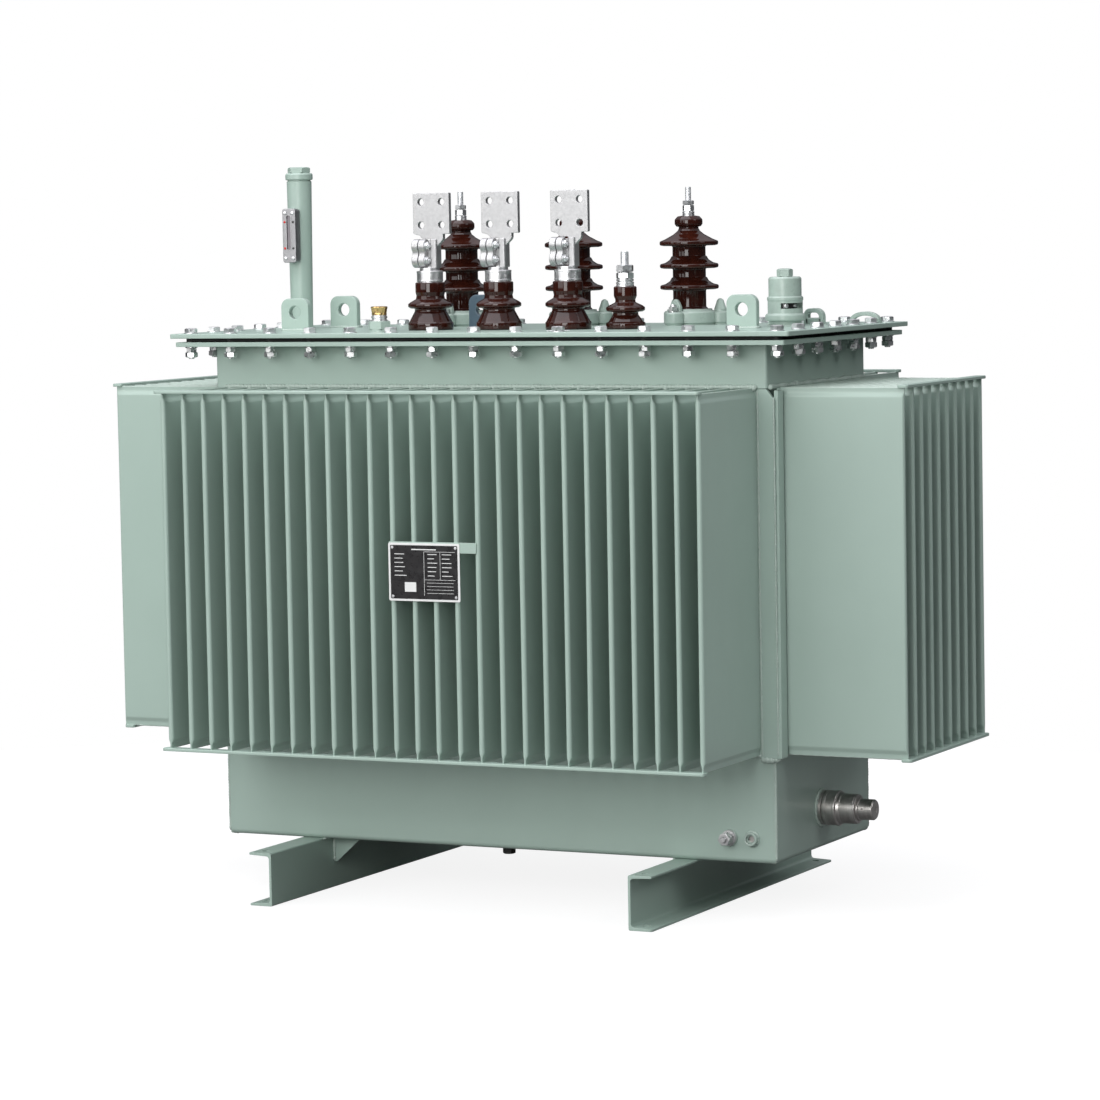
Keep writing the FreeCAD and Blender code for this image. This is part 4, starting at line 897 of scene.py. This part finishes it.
for sx in (-1, 1):
    for z in (glo.z + 9, ghi.z - 9):
        lathe(m, soft([(0, -0.5), (3.6, -0.5), (3.6, 1.6, 0.8), (0, 2.0)], 3), xf=at(gx + sx * 8.6, glo.y, z, rx=90), seg=18, mi=1)
piece("gauge_housing", m, [GAUGE, ZINC], ["level_gauge"], "zinc", sharp=36)
m = Mesh()
rim = round_poly([(-6.6, 1260.6, 4), (5.2, 1260.6, 4), (5.2, 1332.4, 4), (-6.6, 1332.4, 4)], 4)
plate(m, rim, [slot], 1.4, 0.4, 2, at(gx, glo.y - 0.1, 0, rx=90))
piece("gauge_bezel", m, ALU, (), "zinc")
m = Mesh()
plate(m, slot, (), 3, 0.3, 1, at(gx, glo.y + 3.4, 0, rx=90))
piece("gauge_glass", m, GLASS, (), "zinc")
m = Mesh()
for z, r, mi, dx in ((1318, 2.6, 0, -9.6), (1265, 2.6, 0, -9.6), (1318, 2.4, 1, 9.4), (1265, 2.4, 1, 9.4)):
    lathe(m, soft([(0, -0.4), (r, -0.4), (r, 0.9, 0.5), (0, 1.2)], 2), xf=at(gx + dx, glo.y, z, rx=90), seg=18, mi=mi)
piece("gauge_marks", m, [RED, BLACK], (), "zinc")


# ------------------------------------------------------------------ lifting lugs
def lug_mesh(m, w, cx, cy, wid, tall, thick, hole_up, rad, top, seed):
    out = [(-wid / 2, 0), (wid / 2, 0)]
    for k in range(9):
        a = math.radians(90 * k / 8)
        out.append((wid / 2 - top + top * math.cos(a), tall - top + top * math.sin(a)))
    for k in range(9):
        a = math.radians(90 + 90 * k / 8)
        out.append((-wid / 2 + top + top * math.cos(a), tall - top + top * math.sin(a)))
    plate(m, out, [disc_pts(0, hole_up, rad, 36)], thick, 1.5, 3, at(cx, cy, ZC, rx=90))
    hx, hy = wid / 2 + 0.5, thick / 2 + 0.5
    bead(w, [(cx - hx, cy - hy, ZC + 1), (cx + hx, cy - hy, ZC + 1), (cx + hx, cy + hy, ZC + 1), (cx - hx, cy + hy, ZC + 1), (cx - hx, cy - hy, ZC + 1)],
         2.7, seed, 2.6, 0.2, 7)


m, w = Mesh(), Mesh()
for i, (sx, sy) in enumerate(((-1, -1), (1, -1), (-1, 1), (1, 1))):
    lug_mesh(m, w, -487 if sx < 0 else 483, sy * 100, 62, 64, 15, 36, 13, 17, 300 + i)
piece("cover_lugs", m, PAINT, ["lifting_lugs"], "paint", sharp=45)
piece("lug_welds", w, WELD_PAINT_LIT, (), "paint", sharp=80)
m, w = Mesh(), Mesh()
lug_mesh(m, w, -122, 4, 58, 66, 12, 36, 13, 17, 330)
# the middle lug and its weld use the darkened enamel copy: painted shade and painted reflection
piece("middle_lug", m, LUG_PAINT_SHADED, ["centre_lug"], "paint", sharp=45)
piece("middle_lug_weld", w, LUG_PAINT_SHADED, (), "paint", sharp=80)

# ------------------------------------------------------------------ thermometer pocket
lo, hi = box_mm("thermometer_pocket")
PX, PY = (lo.x + hi.x) / 2, (lo.y + hi.y) / 2
m = Mesh()
lathe(m, soft([(0, ZC - 0.5), (22, ZC - 0.5), (22, ZC + 3.4, 1), (0, ZC + 3.4)], 2), PX, PY, 0, 40)
hexnut(m, 40, 17.6, at(PX, PY, ZC + 3.2), 0.93, 0.97, 5, 0, 0.1)
piece("pocket_hexagon", m, CAST, ["thermometer_pocket"], "paint", sharp=32)
m = Mesh()
lathe(m, soft([(0, 1121), (16.4, 1121, 0.6), (16.4, 1124.4, 0.6), (14.4, 1125), (14.4, 1127.4), (15.8, 1128, 0.6), (15.8, 1131.6, 0.6), (14.2, 1132.2),
               (14.2, 1134.6), (0, 1134.6)], 2), PX, PY, 0, 40)
piece("pocket_neck_ring", m, CAPALU, (), "zinc", sharp=32)
m = Mesh()
n = 72
rows = []
for z, r in ((1133.6, 13.6), (1134.4, 14.6), (1136.6, 14.8), (1138, 14.6), (1146, 15.8), (1148.6, 16.6), (1150.6, 15.8)):
    rows.append([((r - (0.9 if (k % 6) < 2 and 1137 < z < 1147 else 0)) * math.cos(TAU * k / n), (r - (0.9 if (k % 6) < 2 and 1137 < z < 1147 else 0))
                  * math.sin(TAU * k / n), z) for k in range(n)])
rows.append([(10 * math.cos(TAU * k / n), 10 * math.sin(TAU * k / n), 1150.9) for k in range(n)])
loft(m, rows, at(PX, PY, 0))
piece("pocket_brass_cap", m, BRASS, ["thermometer_cap"], "brass", sharp=30)

# ------------------------------------------------------------------ tap changer
KX, KY = 517.0, 25.0
m = Mesh()
lathe(m, soft([(0, ZC - 0.5), (31, ZC - 0.5), (31, 1111.4, 0.8), (37.2, 1112.4, 1.2), (38.5, 1115, 1.6), (38.5, 1122.6, 1.8), (36.4, 1125.6, 1.2), (33.6, 1126.2, 1),
               (33.6, 1150.4, 0.8), (34.6, 1151.4, 0.8), (34.6, 1156.6, 1.0), (33.2, 1158.4, 0.8), (31.6, 1158.8, 0.8), (31.6, 1193, 2.4), (28.6, 1196.2, 1.2),
               (0, 1196.2)], 3), KX, KY, 0, 80)
c1 = Mesh()
rbox(c1, 17.5, 27, 1135.6, 1146.2, 1, 0.4, 0.4, 2, at(KX, KY, 0, rz=-28) @ at(29.5, 0, 0))
me = carve("tap_body", m, [c1])
piece("tap_housing", me, CAST, ["tap_changer"], "paint", sharp=45)
m = Mesh()
lathe(m, soft([(0, 1135.3), (21.5, 1135.3), (22.5, 1136.6, 0.6), (22.5, 1145.2, 0.6), (21.5, 1146.5), (0, 1146.5)], 2), KX, KY, 0, 48)
piece("tap_window_dark", m, BLACK, (), "plate_black")
m = Mesh()
for az, r in ((-62, 4.2), (-17, 3.0)):
    lathe(m, soft([(0, 0), (r, 0), (r, 4.6, 0.7), (0, 5.2)], 3), xf=at(KX, KY, 1141, rz=az) @ at(22, 0, 0, ry=90), seg=20)
piece("tap_window_screws", m, ZINC, (), "zinc")
m = Mesh()
hexnut(m, 27, 15.2, at(KX, KY, 1196.2), 0.90, 0.97, 5, 0, 0.35, 0.6)
piece("tap_knob", m, CAST, ["tap_changer_knob"], "paint", sharp=34)
m = Mesh()
ring_bead(m, KX, KY, ZC + 0.8, 32, 2.6, 8)
piece("tap_seat_weld", m, WELD_PAINT_LIT, (), "paint", sharp=80)


# ------------------------------------------------------------------ small handle and rear eye: bent flat bars
def strap(m, path, width, thick, xf, bev=0.9):
    """A flat bar of the given width that follows a line in the XZ plane."""
    up, dn = [], []
    n = len(path)
    for i, p in enumerate(path):
        a, b = Vector(path[max(i - 1, 0)]), Vector(path[min(i + 1, n - 1)])
        t = (b - a).normalized()
        q = Vector((-t.y, t.x)) * thick / 2
        up.append((p[0] + q.x, p[1] + q.y))
        dn.append((p[0] - q.x, p[1] - q.y))
    plate(m, dn + up[::-1], (), width, bev, 2, xf @ Matrix.Rotation(math.radians(90), 4, "X"))


hlo, hhi = box_mm("lid_handle")
cx, cy = (hlo.x + hhi.x) / 2, (hlo.y + hhi.y) / 2
wid, tall = (hhi.x - hlo.x) / 2, hhi.z - ZC
m = Mesh()
path = soft([(-wid + 4.25, 0), (-wid + 4.25, tall - 4.25, 9), (wid - 4.25, tall - 4.25, 12), (wid - 4.25, 0)], 7)
strap(m, path, 16, 8.5, at(cx, cy, ZC))
ring_bead(m, cx - wid + 4.25, cy, ZC + 0.8, 6.5, 2.2, 4)
ring_bead(m, cx + wid - 4.25, cy, ZC + 0.8, 6.5, 2.2, 5)
rbox(m, wid - 1.0, 8, 0, 12.5, 4, 0.8, 2.0, 3, at(cx, cy, ZC))
piece("cover_handle", m, CAST, ["lid_handle"], "paint", sharp=50)
elo, ehi = box_mm("rear_eye")
cx, cy = (elo.x + ehi.x) / 2, (elo.y + ehi.y) / 2
wid, tall = (ehi.x - elo.x) / 2, ehi.z - ZC
m = Mesh()
path = [(-(wid - 4) * math.cos(math.pi * k / 24), (tall - 4) * math.sin(math.pi * k / 24) ** 0.75) for k in range(25)]
strap(m, path, 12, 8, at(cx, cy, ZC))
piece("rear_loop", m, CAST, ["rear_eye"], "paint", sharp=50)

# ------------------------------------------------------------------ drain valve
vlo, vhi = box_mm("drain_valve")
VX, VY, VZ = vlo.x, (vlo.y + vhi.y) / 2, (vlo.z + vhi.z) / 2
m = Mesh()
ax = at(VX, VY, VZ, ry=90)
lathe(m, soft([(0, -1), (33, -1), (33, 9.4, 1.0), (30.6, 10.2), (30.6, 12.2), (34, 13.0, 1.0), (34, 17, 0.5), (33.2, 17.6), (33.2, 33, 0.6), (34, 33.6, 0.4),
               (34, 38.0, 1.6), (30.4, 39.6, 0.8), (29.4, 45.2, 0.8), (28.7, 46.0), (28.7, 72.4, 0.6), (28, 73.2), (28, 76.0, 1.2), (23, 77.2), (0, 77.2)], 3),
      xf=ax, seg=80)
c1 = Mesh()
lathe(c1, [(0, 0), (2.0, 0), (2.0, 9), (0, 9)], xf=at(VX + 90, VY - 24, VZ + 3, rx=-90), seg=14)
piece("valve_barrel", m, STEEL, ["drain_valve"], "bare_steel", sharp=34)
m = Mesh()
lathe(m, soft([(0, 76.6), (22.4, 76.6), (22.4, 80.6, 0.8), (20, 81.4), (20, 107.4, 1.6), (17.6, 110.4, 1.2), (6.2, 110.6), (5.4, 109.2), (2.2, 109.2), (0, 110.4)], 3),
      xf=ax, seg=56)
me = carve("valve_cap", m, [c1])
piece("valve_end_cap", me, STEEL, ["drain_valve_cap"], "bare_steel", sharp=34)
m = Mesh()
bead(m, [(VX + 1, VY + 34 * math.cos(TAU * k / 60), VZ + 34 * math.sin(TAU * k / 60)) for k in range(61)], 3.4, 17, 2.6, 0.18, 7)
piece("valve_weld", m, WELD_PAINT_LIT, (), "paint", sharp=80)

# ------------------------------------------------------------------ earth bolt, boss, drain plug
EY = -231.0
m = Mesh()
ax = at(498, EY, 150, rx=90)
lathe(m, soft([(0, -1), (16, -1), (16, 3.4, 1), (14.4, 4), (0, 4)], 2), xf=ax, seg=36, mi=1)
lathe(m, soft([(0, 3.6), (15, 3.6), (15, 5.8, 0.6), (12, 6.0), (12, 6.6), (14.6, 6.8), (14.6, 9.0, 0.6), (0, 9.0)], 2), xf=ax, seg=36)
hexnut(m, 21.5, 10, ax @ at(0, 0, 9), 0.93, 0.97, 4, 0, 0.5)
lathe(m, soft([(0, 19), (11.4, 19), (11.4, 21, 0.5), (0, 21)], 2), xf=ax, seg=28)
hexnut(m, 21.5, 8.6, ax @ at(0, 0, 21), 0.9, 0.95, 4, 0, 0.15)
thread(m, 5.9, 28, 35.6, 1.75, 0.6, 20, ax)
piece("earth_bolt_stack", m, [ALU, CAST], ["earth_bolt"], "zinc", sharp=30)
m = Mesh()
ax = at(544, EY, 150, rx=90)
ring = []
n = 40
for r, z in ((13.2, -1), (13.4, 9.4), (12.6, 11.6), (11.8, 12), (10.2, 12), (9.2, 11.4), (8.6, 7.0), (6.2, 5.6), (6.0, 1.0)):
    ring.append([(r * math.cos(TAU * k / n), r * math.sin(TAU * k / n), z) for k in range(n)])
loft(m, ring, ax)
ring_bead(m, 544, 0, 0, 13.4, 2.6, 6)
for i in range(9 * n, len(m.v)):
    x, y, z = m.v[i]
    m.v[i] = (x, EY - 0.6 + z, 150 + y)
piece("earth_boss_ring", m, [CAST], ["earth_boss"], "paint", sharp=45)
m = Mesh()
lathe(m, [(0, 1.05), (5.95, 1.05), (5.95, 1.6), (0, 1.6)], xf=ax, seg=32)
piece("earth_boss_face", m, STEEL, (), "zinc", sharp=30)

plo, phi = box_mm("drain_plug")
px, py = (plo.x + phi.x) / 2, (plo.y + phi.y) / 2
m = Mesh()
lathe(m, soft([(0, base_lo.z + 1), (19, base_lo.z + 1), (19, base_lo.z - 4, 1), (17, base_lo.z - 5), (17, base_lo.z - 12.5, 1), (12.5, base_lo.z - 14), (0, base_lo.z - 14)], 2),
      px, py, 0, 40)
hexnut(m, 22.5, 15.2, at(px, py, base_lo.z - 29.4), 0.97, 0.88, 4, 0, 0.2)
piece("base_drain_plug", m, DARK, ["drain_plug"], "dark_steel", sharp=34)

# ------------------------------------------------------------------ channel feet and gussets
for side, nm in ((-1, "left"), (1, "right")):
    clo, chi = box_mm("foot_channel_" + nm)
    x0 = clo.x if side > 0 else -chi.x
    x2 = chi.x if side > 0 else -clo.x
    H = chi.z
    sec = round_poly([(x0, 0, 3), (x2, 0, 0.8), (x2, 4.4, 1.6), (x0 + 5, 6.4, 6), (x0 + 5, H - 6.4, 6), (x2, H - 4.4, 1.6), (x2, H, 0.8), (x0, H, 3)], 5)
    m = Mesh()
    plate(m, [(side * a, b) for a, b in sec], (), chi.y - clo.y, 0.7, 2, at(0, (chi.y + clo.y) / 2, 0, rx=90))
    cuts = []
    for sy in (-1, 1):
        c = Mesh()
        lathe(c, [(0, -5), (8, -5), (8, H + 5), (0, H + 5)], side * (x0 + 25), sy * 407, 0, 36)
        cuts.append(c)
    if side > 0:
        # the front outer corner of the lower flange is cropped
        c = Mesh()
        plate(c, [(x2 - 7, -440), (x2 + 3, -440), (x2 + 3, -427)], (), 14, 0.01, 1, at(0, 0, 4))
        cuts.append(c)
    me = carve("channel", m, cuts)
    piece("foot_rail_" + nm, me, PAINT, ["foot_channel_" + nm], "paint", sharp=40)

m, w = Mesh(), Mesh()
for sx in (-1, 1):
    for sy in (-1, 1):
        if sx > 0 and sy < 0:
            continue
        x1, zt = 380.3, base_lo.z
        out = [(x1 - 57, zt), (x1, zt), (x1, zt - 52), (x1 - 7, zt - 52), (x1 - 57, zt - 7)]
        plate(m, [(sx * a, b) for a, b in out], (), 6, 0.7, 2, at(0, sy * 184, 0, rx=90))
        for o in (-4, 4):
            bead(w, [(sx * (x1 - 2), sy * 184 + o, zt - 50), (sx * (x1 - 2), sy * 184 + o, zt - 3)], 3.2, 400 + sx + 3 * sy + o, 2.6, 0.2, 7)
            bead(w, [(sx * (x1 - 4), sy * 184 + o, zt - 1), (sx * (x1 - 55), sy * 184 + o, zt - 1)], 3.0, 420 + sx + 3 * sy + o, 2.6, 0.2, 7)
    # short weld runs between the rails and the tank floor
    for a, b in ((-229, -175), (-60, 0), (90, 150), (180, 229)):
        bead(w, [(sx * 379.5, a, 102.4), (sx * 379.5, b, 102.4)], 3.4, 440 + a, 2.6, 0.2, 7)
piece("foot_gusset_plates", m, PAINT, ["foot_gussets"], "paint", sharp=40)
piece("foot_welds", w, WELD_PAINT_LIT, (), "paint", sharp=80)

# ------------------------------------------------------------------ rating plate
rlo, rhi = box_mm("rating_plate")
cx, cz = (rlo.x + rhi.x) / 2, (rlo.z + rhi.z) / 2
hw, hh = (rhi.x - rlo.x) / 2, (rhi.z - rlo.z) / 2
yf = rlo.y
m = Mesh()
plate(m, round_poly([(-hw, -hh, 3), (hw, -hh, 3), (hw, hh, 3), (-hw, hh, 3)], 4), (), 1.6, 0.3, 2, at(cx, yf + 1.5, cz, rx=90))
piece("rating_plate_rim", m, WHITE, ["rating_plate"], "plate_black")
m = Mesh()
plate(m, round_poly([(-hw + 4.2, -hh + 4.2, 2), (hw - 4.2, -hh + 4.2, 2), (hw - 4.2, hh - 4.2, 2), (-hw + 4.2, hh - 4.2, 2)], 4), (), 0.6, 0.15, 1,
      at(cx, yf + 0.55, cz, rx=90))
piece("rating_plate_face", m, BLACK, (), "plate_black")
m = Mesh()
ink = Mesh()
rnd = random.Random(12)


def strip(mm, x0, x1, z0, z1, t=0.22):
    rbox(mm, (x1 - x0) / 2, (z1 - z0) / 2, 0, t, 0.3, 0.05, 0.05, 2, at(cx + (x0 + x1) / 2, yf + 0.28, cz + (z0 + z1) / 2, rx=90))


strip(ink, -26, 26, 41.5, 43.5)
for k in range(6):
    z = 33 - k * 8.0
    strip(ink, -62, -62 + rnd.uniform(16, 26), z, z + 1.3)
    strip(ink, 8, 8 + rnd.uniform(14, 22), z, z + 1.3)
    strip(ink, 38, 38 + rnd.uniform(12, 24), z, z + 1.3)
strip(ink, 0, 66, 38.2, 38.8)
strip(ink, 0, 66, -14.2, -13.6)
strip(ink, 0, 0.7, -44, 38)
strip(ink, 34, 34.6, -14, 38)
for k in range(4):
    strip(ink, 6, 62, -20 - k * 6.4, -19.4 - k * 6.4)
strip(ink, -41, -17, -37, -19)
piece("rating_plate_rules", ink, WHITE, (), "plate_black")
for sx in (-1, 1):
    for sz in (-1, 1):
        ax = at(cx + sx * (hw - 8.5), yf + 0.6, cz + sz * (hh - 8.5), rx=90)
        lathe(m, soft([(0, -0.4), (3.2, -0.4), (3.2, 0.1), (0, 0.1)], 1), xf=ax, seg=20)
        lathe(m, soft([(0, 0.05), (2.9, 0.05), (2.7, 0.4, 0.2), (0, 0.5)], 2), xf=ax, seg=20)
piece("rating_plate_screws", m, ZINC, (), "zinc")
blo, bhi = box_mm("plate_bracket")
m = Mesh()
rbox(m, (bhi.x - blo.x) / 2, (bhi.z - blo.z) / 2, 0, bhi.y - blo.y, 1.5, 0.5, 0.5, 3, at((blo.x + bhi.x) / 2, bhi.y, (blo.z + bhi.z) / 2, rx=90))
piece("plate_bracket_strip", m, PAINT, ["plate_bracket"], "zinc")

# a small plain metal tag on the cover
m = Mesh()
plate(m, round_poly([(-22, -9, 1), (22, -9, 1), (22, 9, 1), (-22, 9, 1)], 3), (), 1.2, 0.3, 1, at(150, -215, ZC + 0.8, rz=28))
piece("cover_tag", m, CAPALU, (), "zinc")

# ------------------------------------------------------------------ camera, light, floor
yaw, pitch, roll = math.radians(26.315), math.radians(4.642), math.radians(-1.055)
back = Vector((math.sin(yaw) * math.cos(pitch), -math.cos(yaw) * math.cos(pitch), math.sin(pitch)))
right = Vector((math.cos(yaw), math.sin(yaw), 0))
upv = right.cross(-back)
r2 = right * math.cos(roll) + upv * math.sin(roll)
u2 = -right * math.sin(roll) + upv * math.cos(roll)
cam = bpy.data.cameras.new("camera")
cam.lens = 132.735
cam.sensor_width = 36.0
cam.clip_start = 0.1
cam.clip_end = 100.0
co = bpy.data.objects.new("camera", cam)
scene.collection.objects.link(co)
co.matrix_world = Matrix(((r2.x, u2.x, back.x, 3.5506), (r2.y, u2.y, back.y, -7.1433), (r2.z, u2.z, back.z, 1.3112), (0, 0, 0, 1)))
scene.camera = co

fm = bpy.data.materials.new("studio_floor")
fm.use_nodes = True
nt = fm.node_tree
nt.nodes.clear()
fo = nt.nodes.new("ShaderNodeOutputMaterial")
nz = nt.nodes.new("ShaderNodeTexNoise")
nz.inputs["Scale"].default_value = 0.8
rp = nt.nodes.new("ShaderNodeValToRGB")
rp.color_ramp.elements[0].color = (0.185, 0.185, 0.19, 1)
rp.color_ramp.elements[1].color = (0.20, 0.20, 0.20, 1)
nt.links.new(nz.outputs["Fac"], rp.inputs["Fac"])
pale = nt.nodes.new("ShaderNodeBsdfDiffuse")
nt.links.new(rp.outputs["Color"], pale.inputs["Color"])
glow = nt.nodes.new("ShaderNodeEmission")
glow.inputs["Color"].default_value = (1, 1, 1, 1)
glow.inputs["Strength"].default_value = 0.87
both = nt.nodes.new("ShaderNodeAddShader")
nt.links.new(pale.outputs[0], both.inputs[0])
nt.links.new(glow.outputs[0], both.inputs[1])
dull = nt.nodes.new("ShaderNodeBsdfDiffuse")
dull.inputs["Color"].default_value = (0.22, 0.22, 0.22, 1)
seen = nt.nodes.new("ShaderNodeLightPath")
pick = nt.nodes.new("ShaderNodeMixShader")
nt.links.new(seen.outputs["Is Camera Ray"], pick.inputs["Fac"])
nt.links.new(dull.outputs[0], pick.inputs[1])
nt.links.new(both.outputs[0], pick.inputs[2])
nt.links.new(pick.outputs[0], fo.inputs["Surface"])
me = bpy.data.meshes.new("floor")
R = 3.4
me.from_pydata([(R * math.cos(TAU * k / 128), R * math.sin(TAU * k / 128) - 1.2, -0.0006) for k in range(128)], [], [tuple(range(128))])
me.materials.append(fm)
floor = bpy.data.objects.new("floor", me)
scene.collection.objects.link(floor)

world = bpy.data.worlds.new("studio")
scene.world = world
world.use_nodes = True
nt = world.node_tree
nt.nodes.clear()
out = nt.nodes.new("ShaderNodeOutputWorld")
geo = nt.nodes.new("ShaderNodeTexCoord")
sep = nt.nodes.new("ShaderNodeSeparateXYZ")
nt.links.new(geo.outputs["Generated"], sep.inputs["Vector"])
ramp = nt.nodes.new("ShaderNodeValToRGB")
el = ramp.color_ramp.elements
el[0].position, el[0].color = 0.0, (0.055, 0.058, 0.062, 1)
el[1].position, el[1].color = 0.9, (0.95, 0.95, 1.0, 1)
e = el.new(0.22)
e.color = (0.075, 0.078, 0.083, 1)
nt.links.new(sep.outputs["Z"], ramp.inputs["Fac"])
bg1 = nt.nodes.new("ShaderNodeBackground")
nt.links.new(ramp.outputs["Color"], bg1.inputs["Color"])
bg1.inputs["Strength"].default_value = 1.0
bg2 = nt.nodes.new("ShaderNodeBackground")
bg2.inputs["Color"].default_value = (1, 1, 1, 1)
bg2.inputs["Strength"].default_value = 1.0
lp = nt.nodes.new("ShaderNodeLightPath")
mx = nt.nodes.new("ShaderNodeMixShader")
nt.links.new(lp.outputs["Is Camera Ray"], mx.inputs["Fac"])
nt.links.new(bg1.outputs[0], mx.inputs[1])
nt.links.new(bg2.outputs[0], mx.inputs[2])
nt.links.new(mx.outputs[0], out.inputs["Surface"])


def panel(name, loc, target, w, h, radiance, tone=(1, 1, 1)):
    """A soft box: the power is set from the brightness wanted and the panel's own area."""
    d = bpy.data.lights.new(name, "AREA")
    d.shape = "RECTANGLE"
    d.size, d.size_y = w, h
    d.energy = radiance * math.pi * w * h
    d.color = tone
    o = bpy.data.objects.new(name, d)
    scene.collection.objects.link(o)
    o.location = loc
    o.rotation_euler = (Vector(target) - Vector(loc)).to_track_quat("-Z", "Y").to_euler()
    return o


panel("key_left", (-3.3, -5.4, 3.1), (0, 0, 0.7), 5.4, 4.2, 2.55, (1.0, 0.995, 0.99))
panel("top", (-0.6, -1.2, 4.6), (0, 0, 0), 4.6, 3.6, 2.5, (0.97, 0.96, 1.0))
panel("front", (0.8, -5.2, 1.9), (0.3, 0, 0.5), 2.4, 2.2, 6.6, (1.0, 1.0, 0.99))
panel("fill_right", (5.2, -0.7, 3.6), (0.4, 0, 0.6), 2.0, 2.0, 3.3)

pieces = [o for o in scene.objects if o.type == "MESH" and o.name in MADE]
for o in pieces:
    w = o.modifiers.new("face_weight", "WEIGHTED_NORMAL")
    w.mode = "FACE_AREA"
    w.weight = 90
    w.keep_sharp = True
dg = bpy.context.evaluated_depsgraph_get()
dg.update()
made = [(o, bpy.data.meshes.new_from_object(o.evaluated_get(dg), preserve_all_data_layers=True, depsgraph=dg)) for o in pieces]
for o, me in made:
    o.modifiers.clear()
    old = o.data
    o.data = me
    bpy.data.meshes.remove(old)
    me.name = o.name

scene.view_settings.view_transform = "Standard"
scene.view_settings.look = "None"
scene.view_settings.exposure = 0.0
scene.view_settings.gamma = 1.0
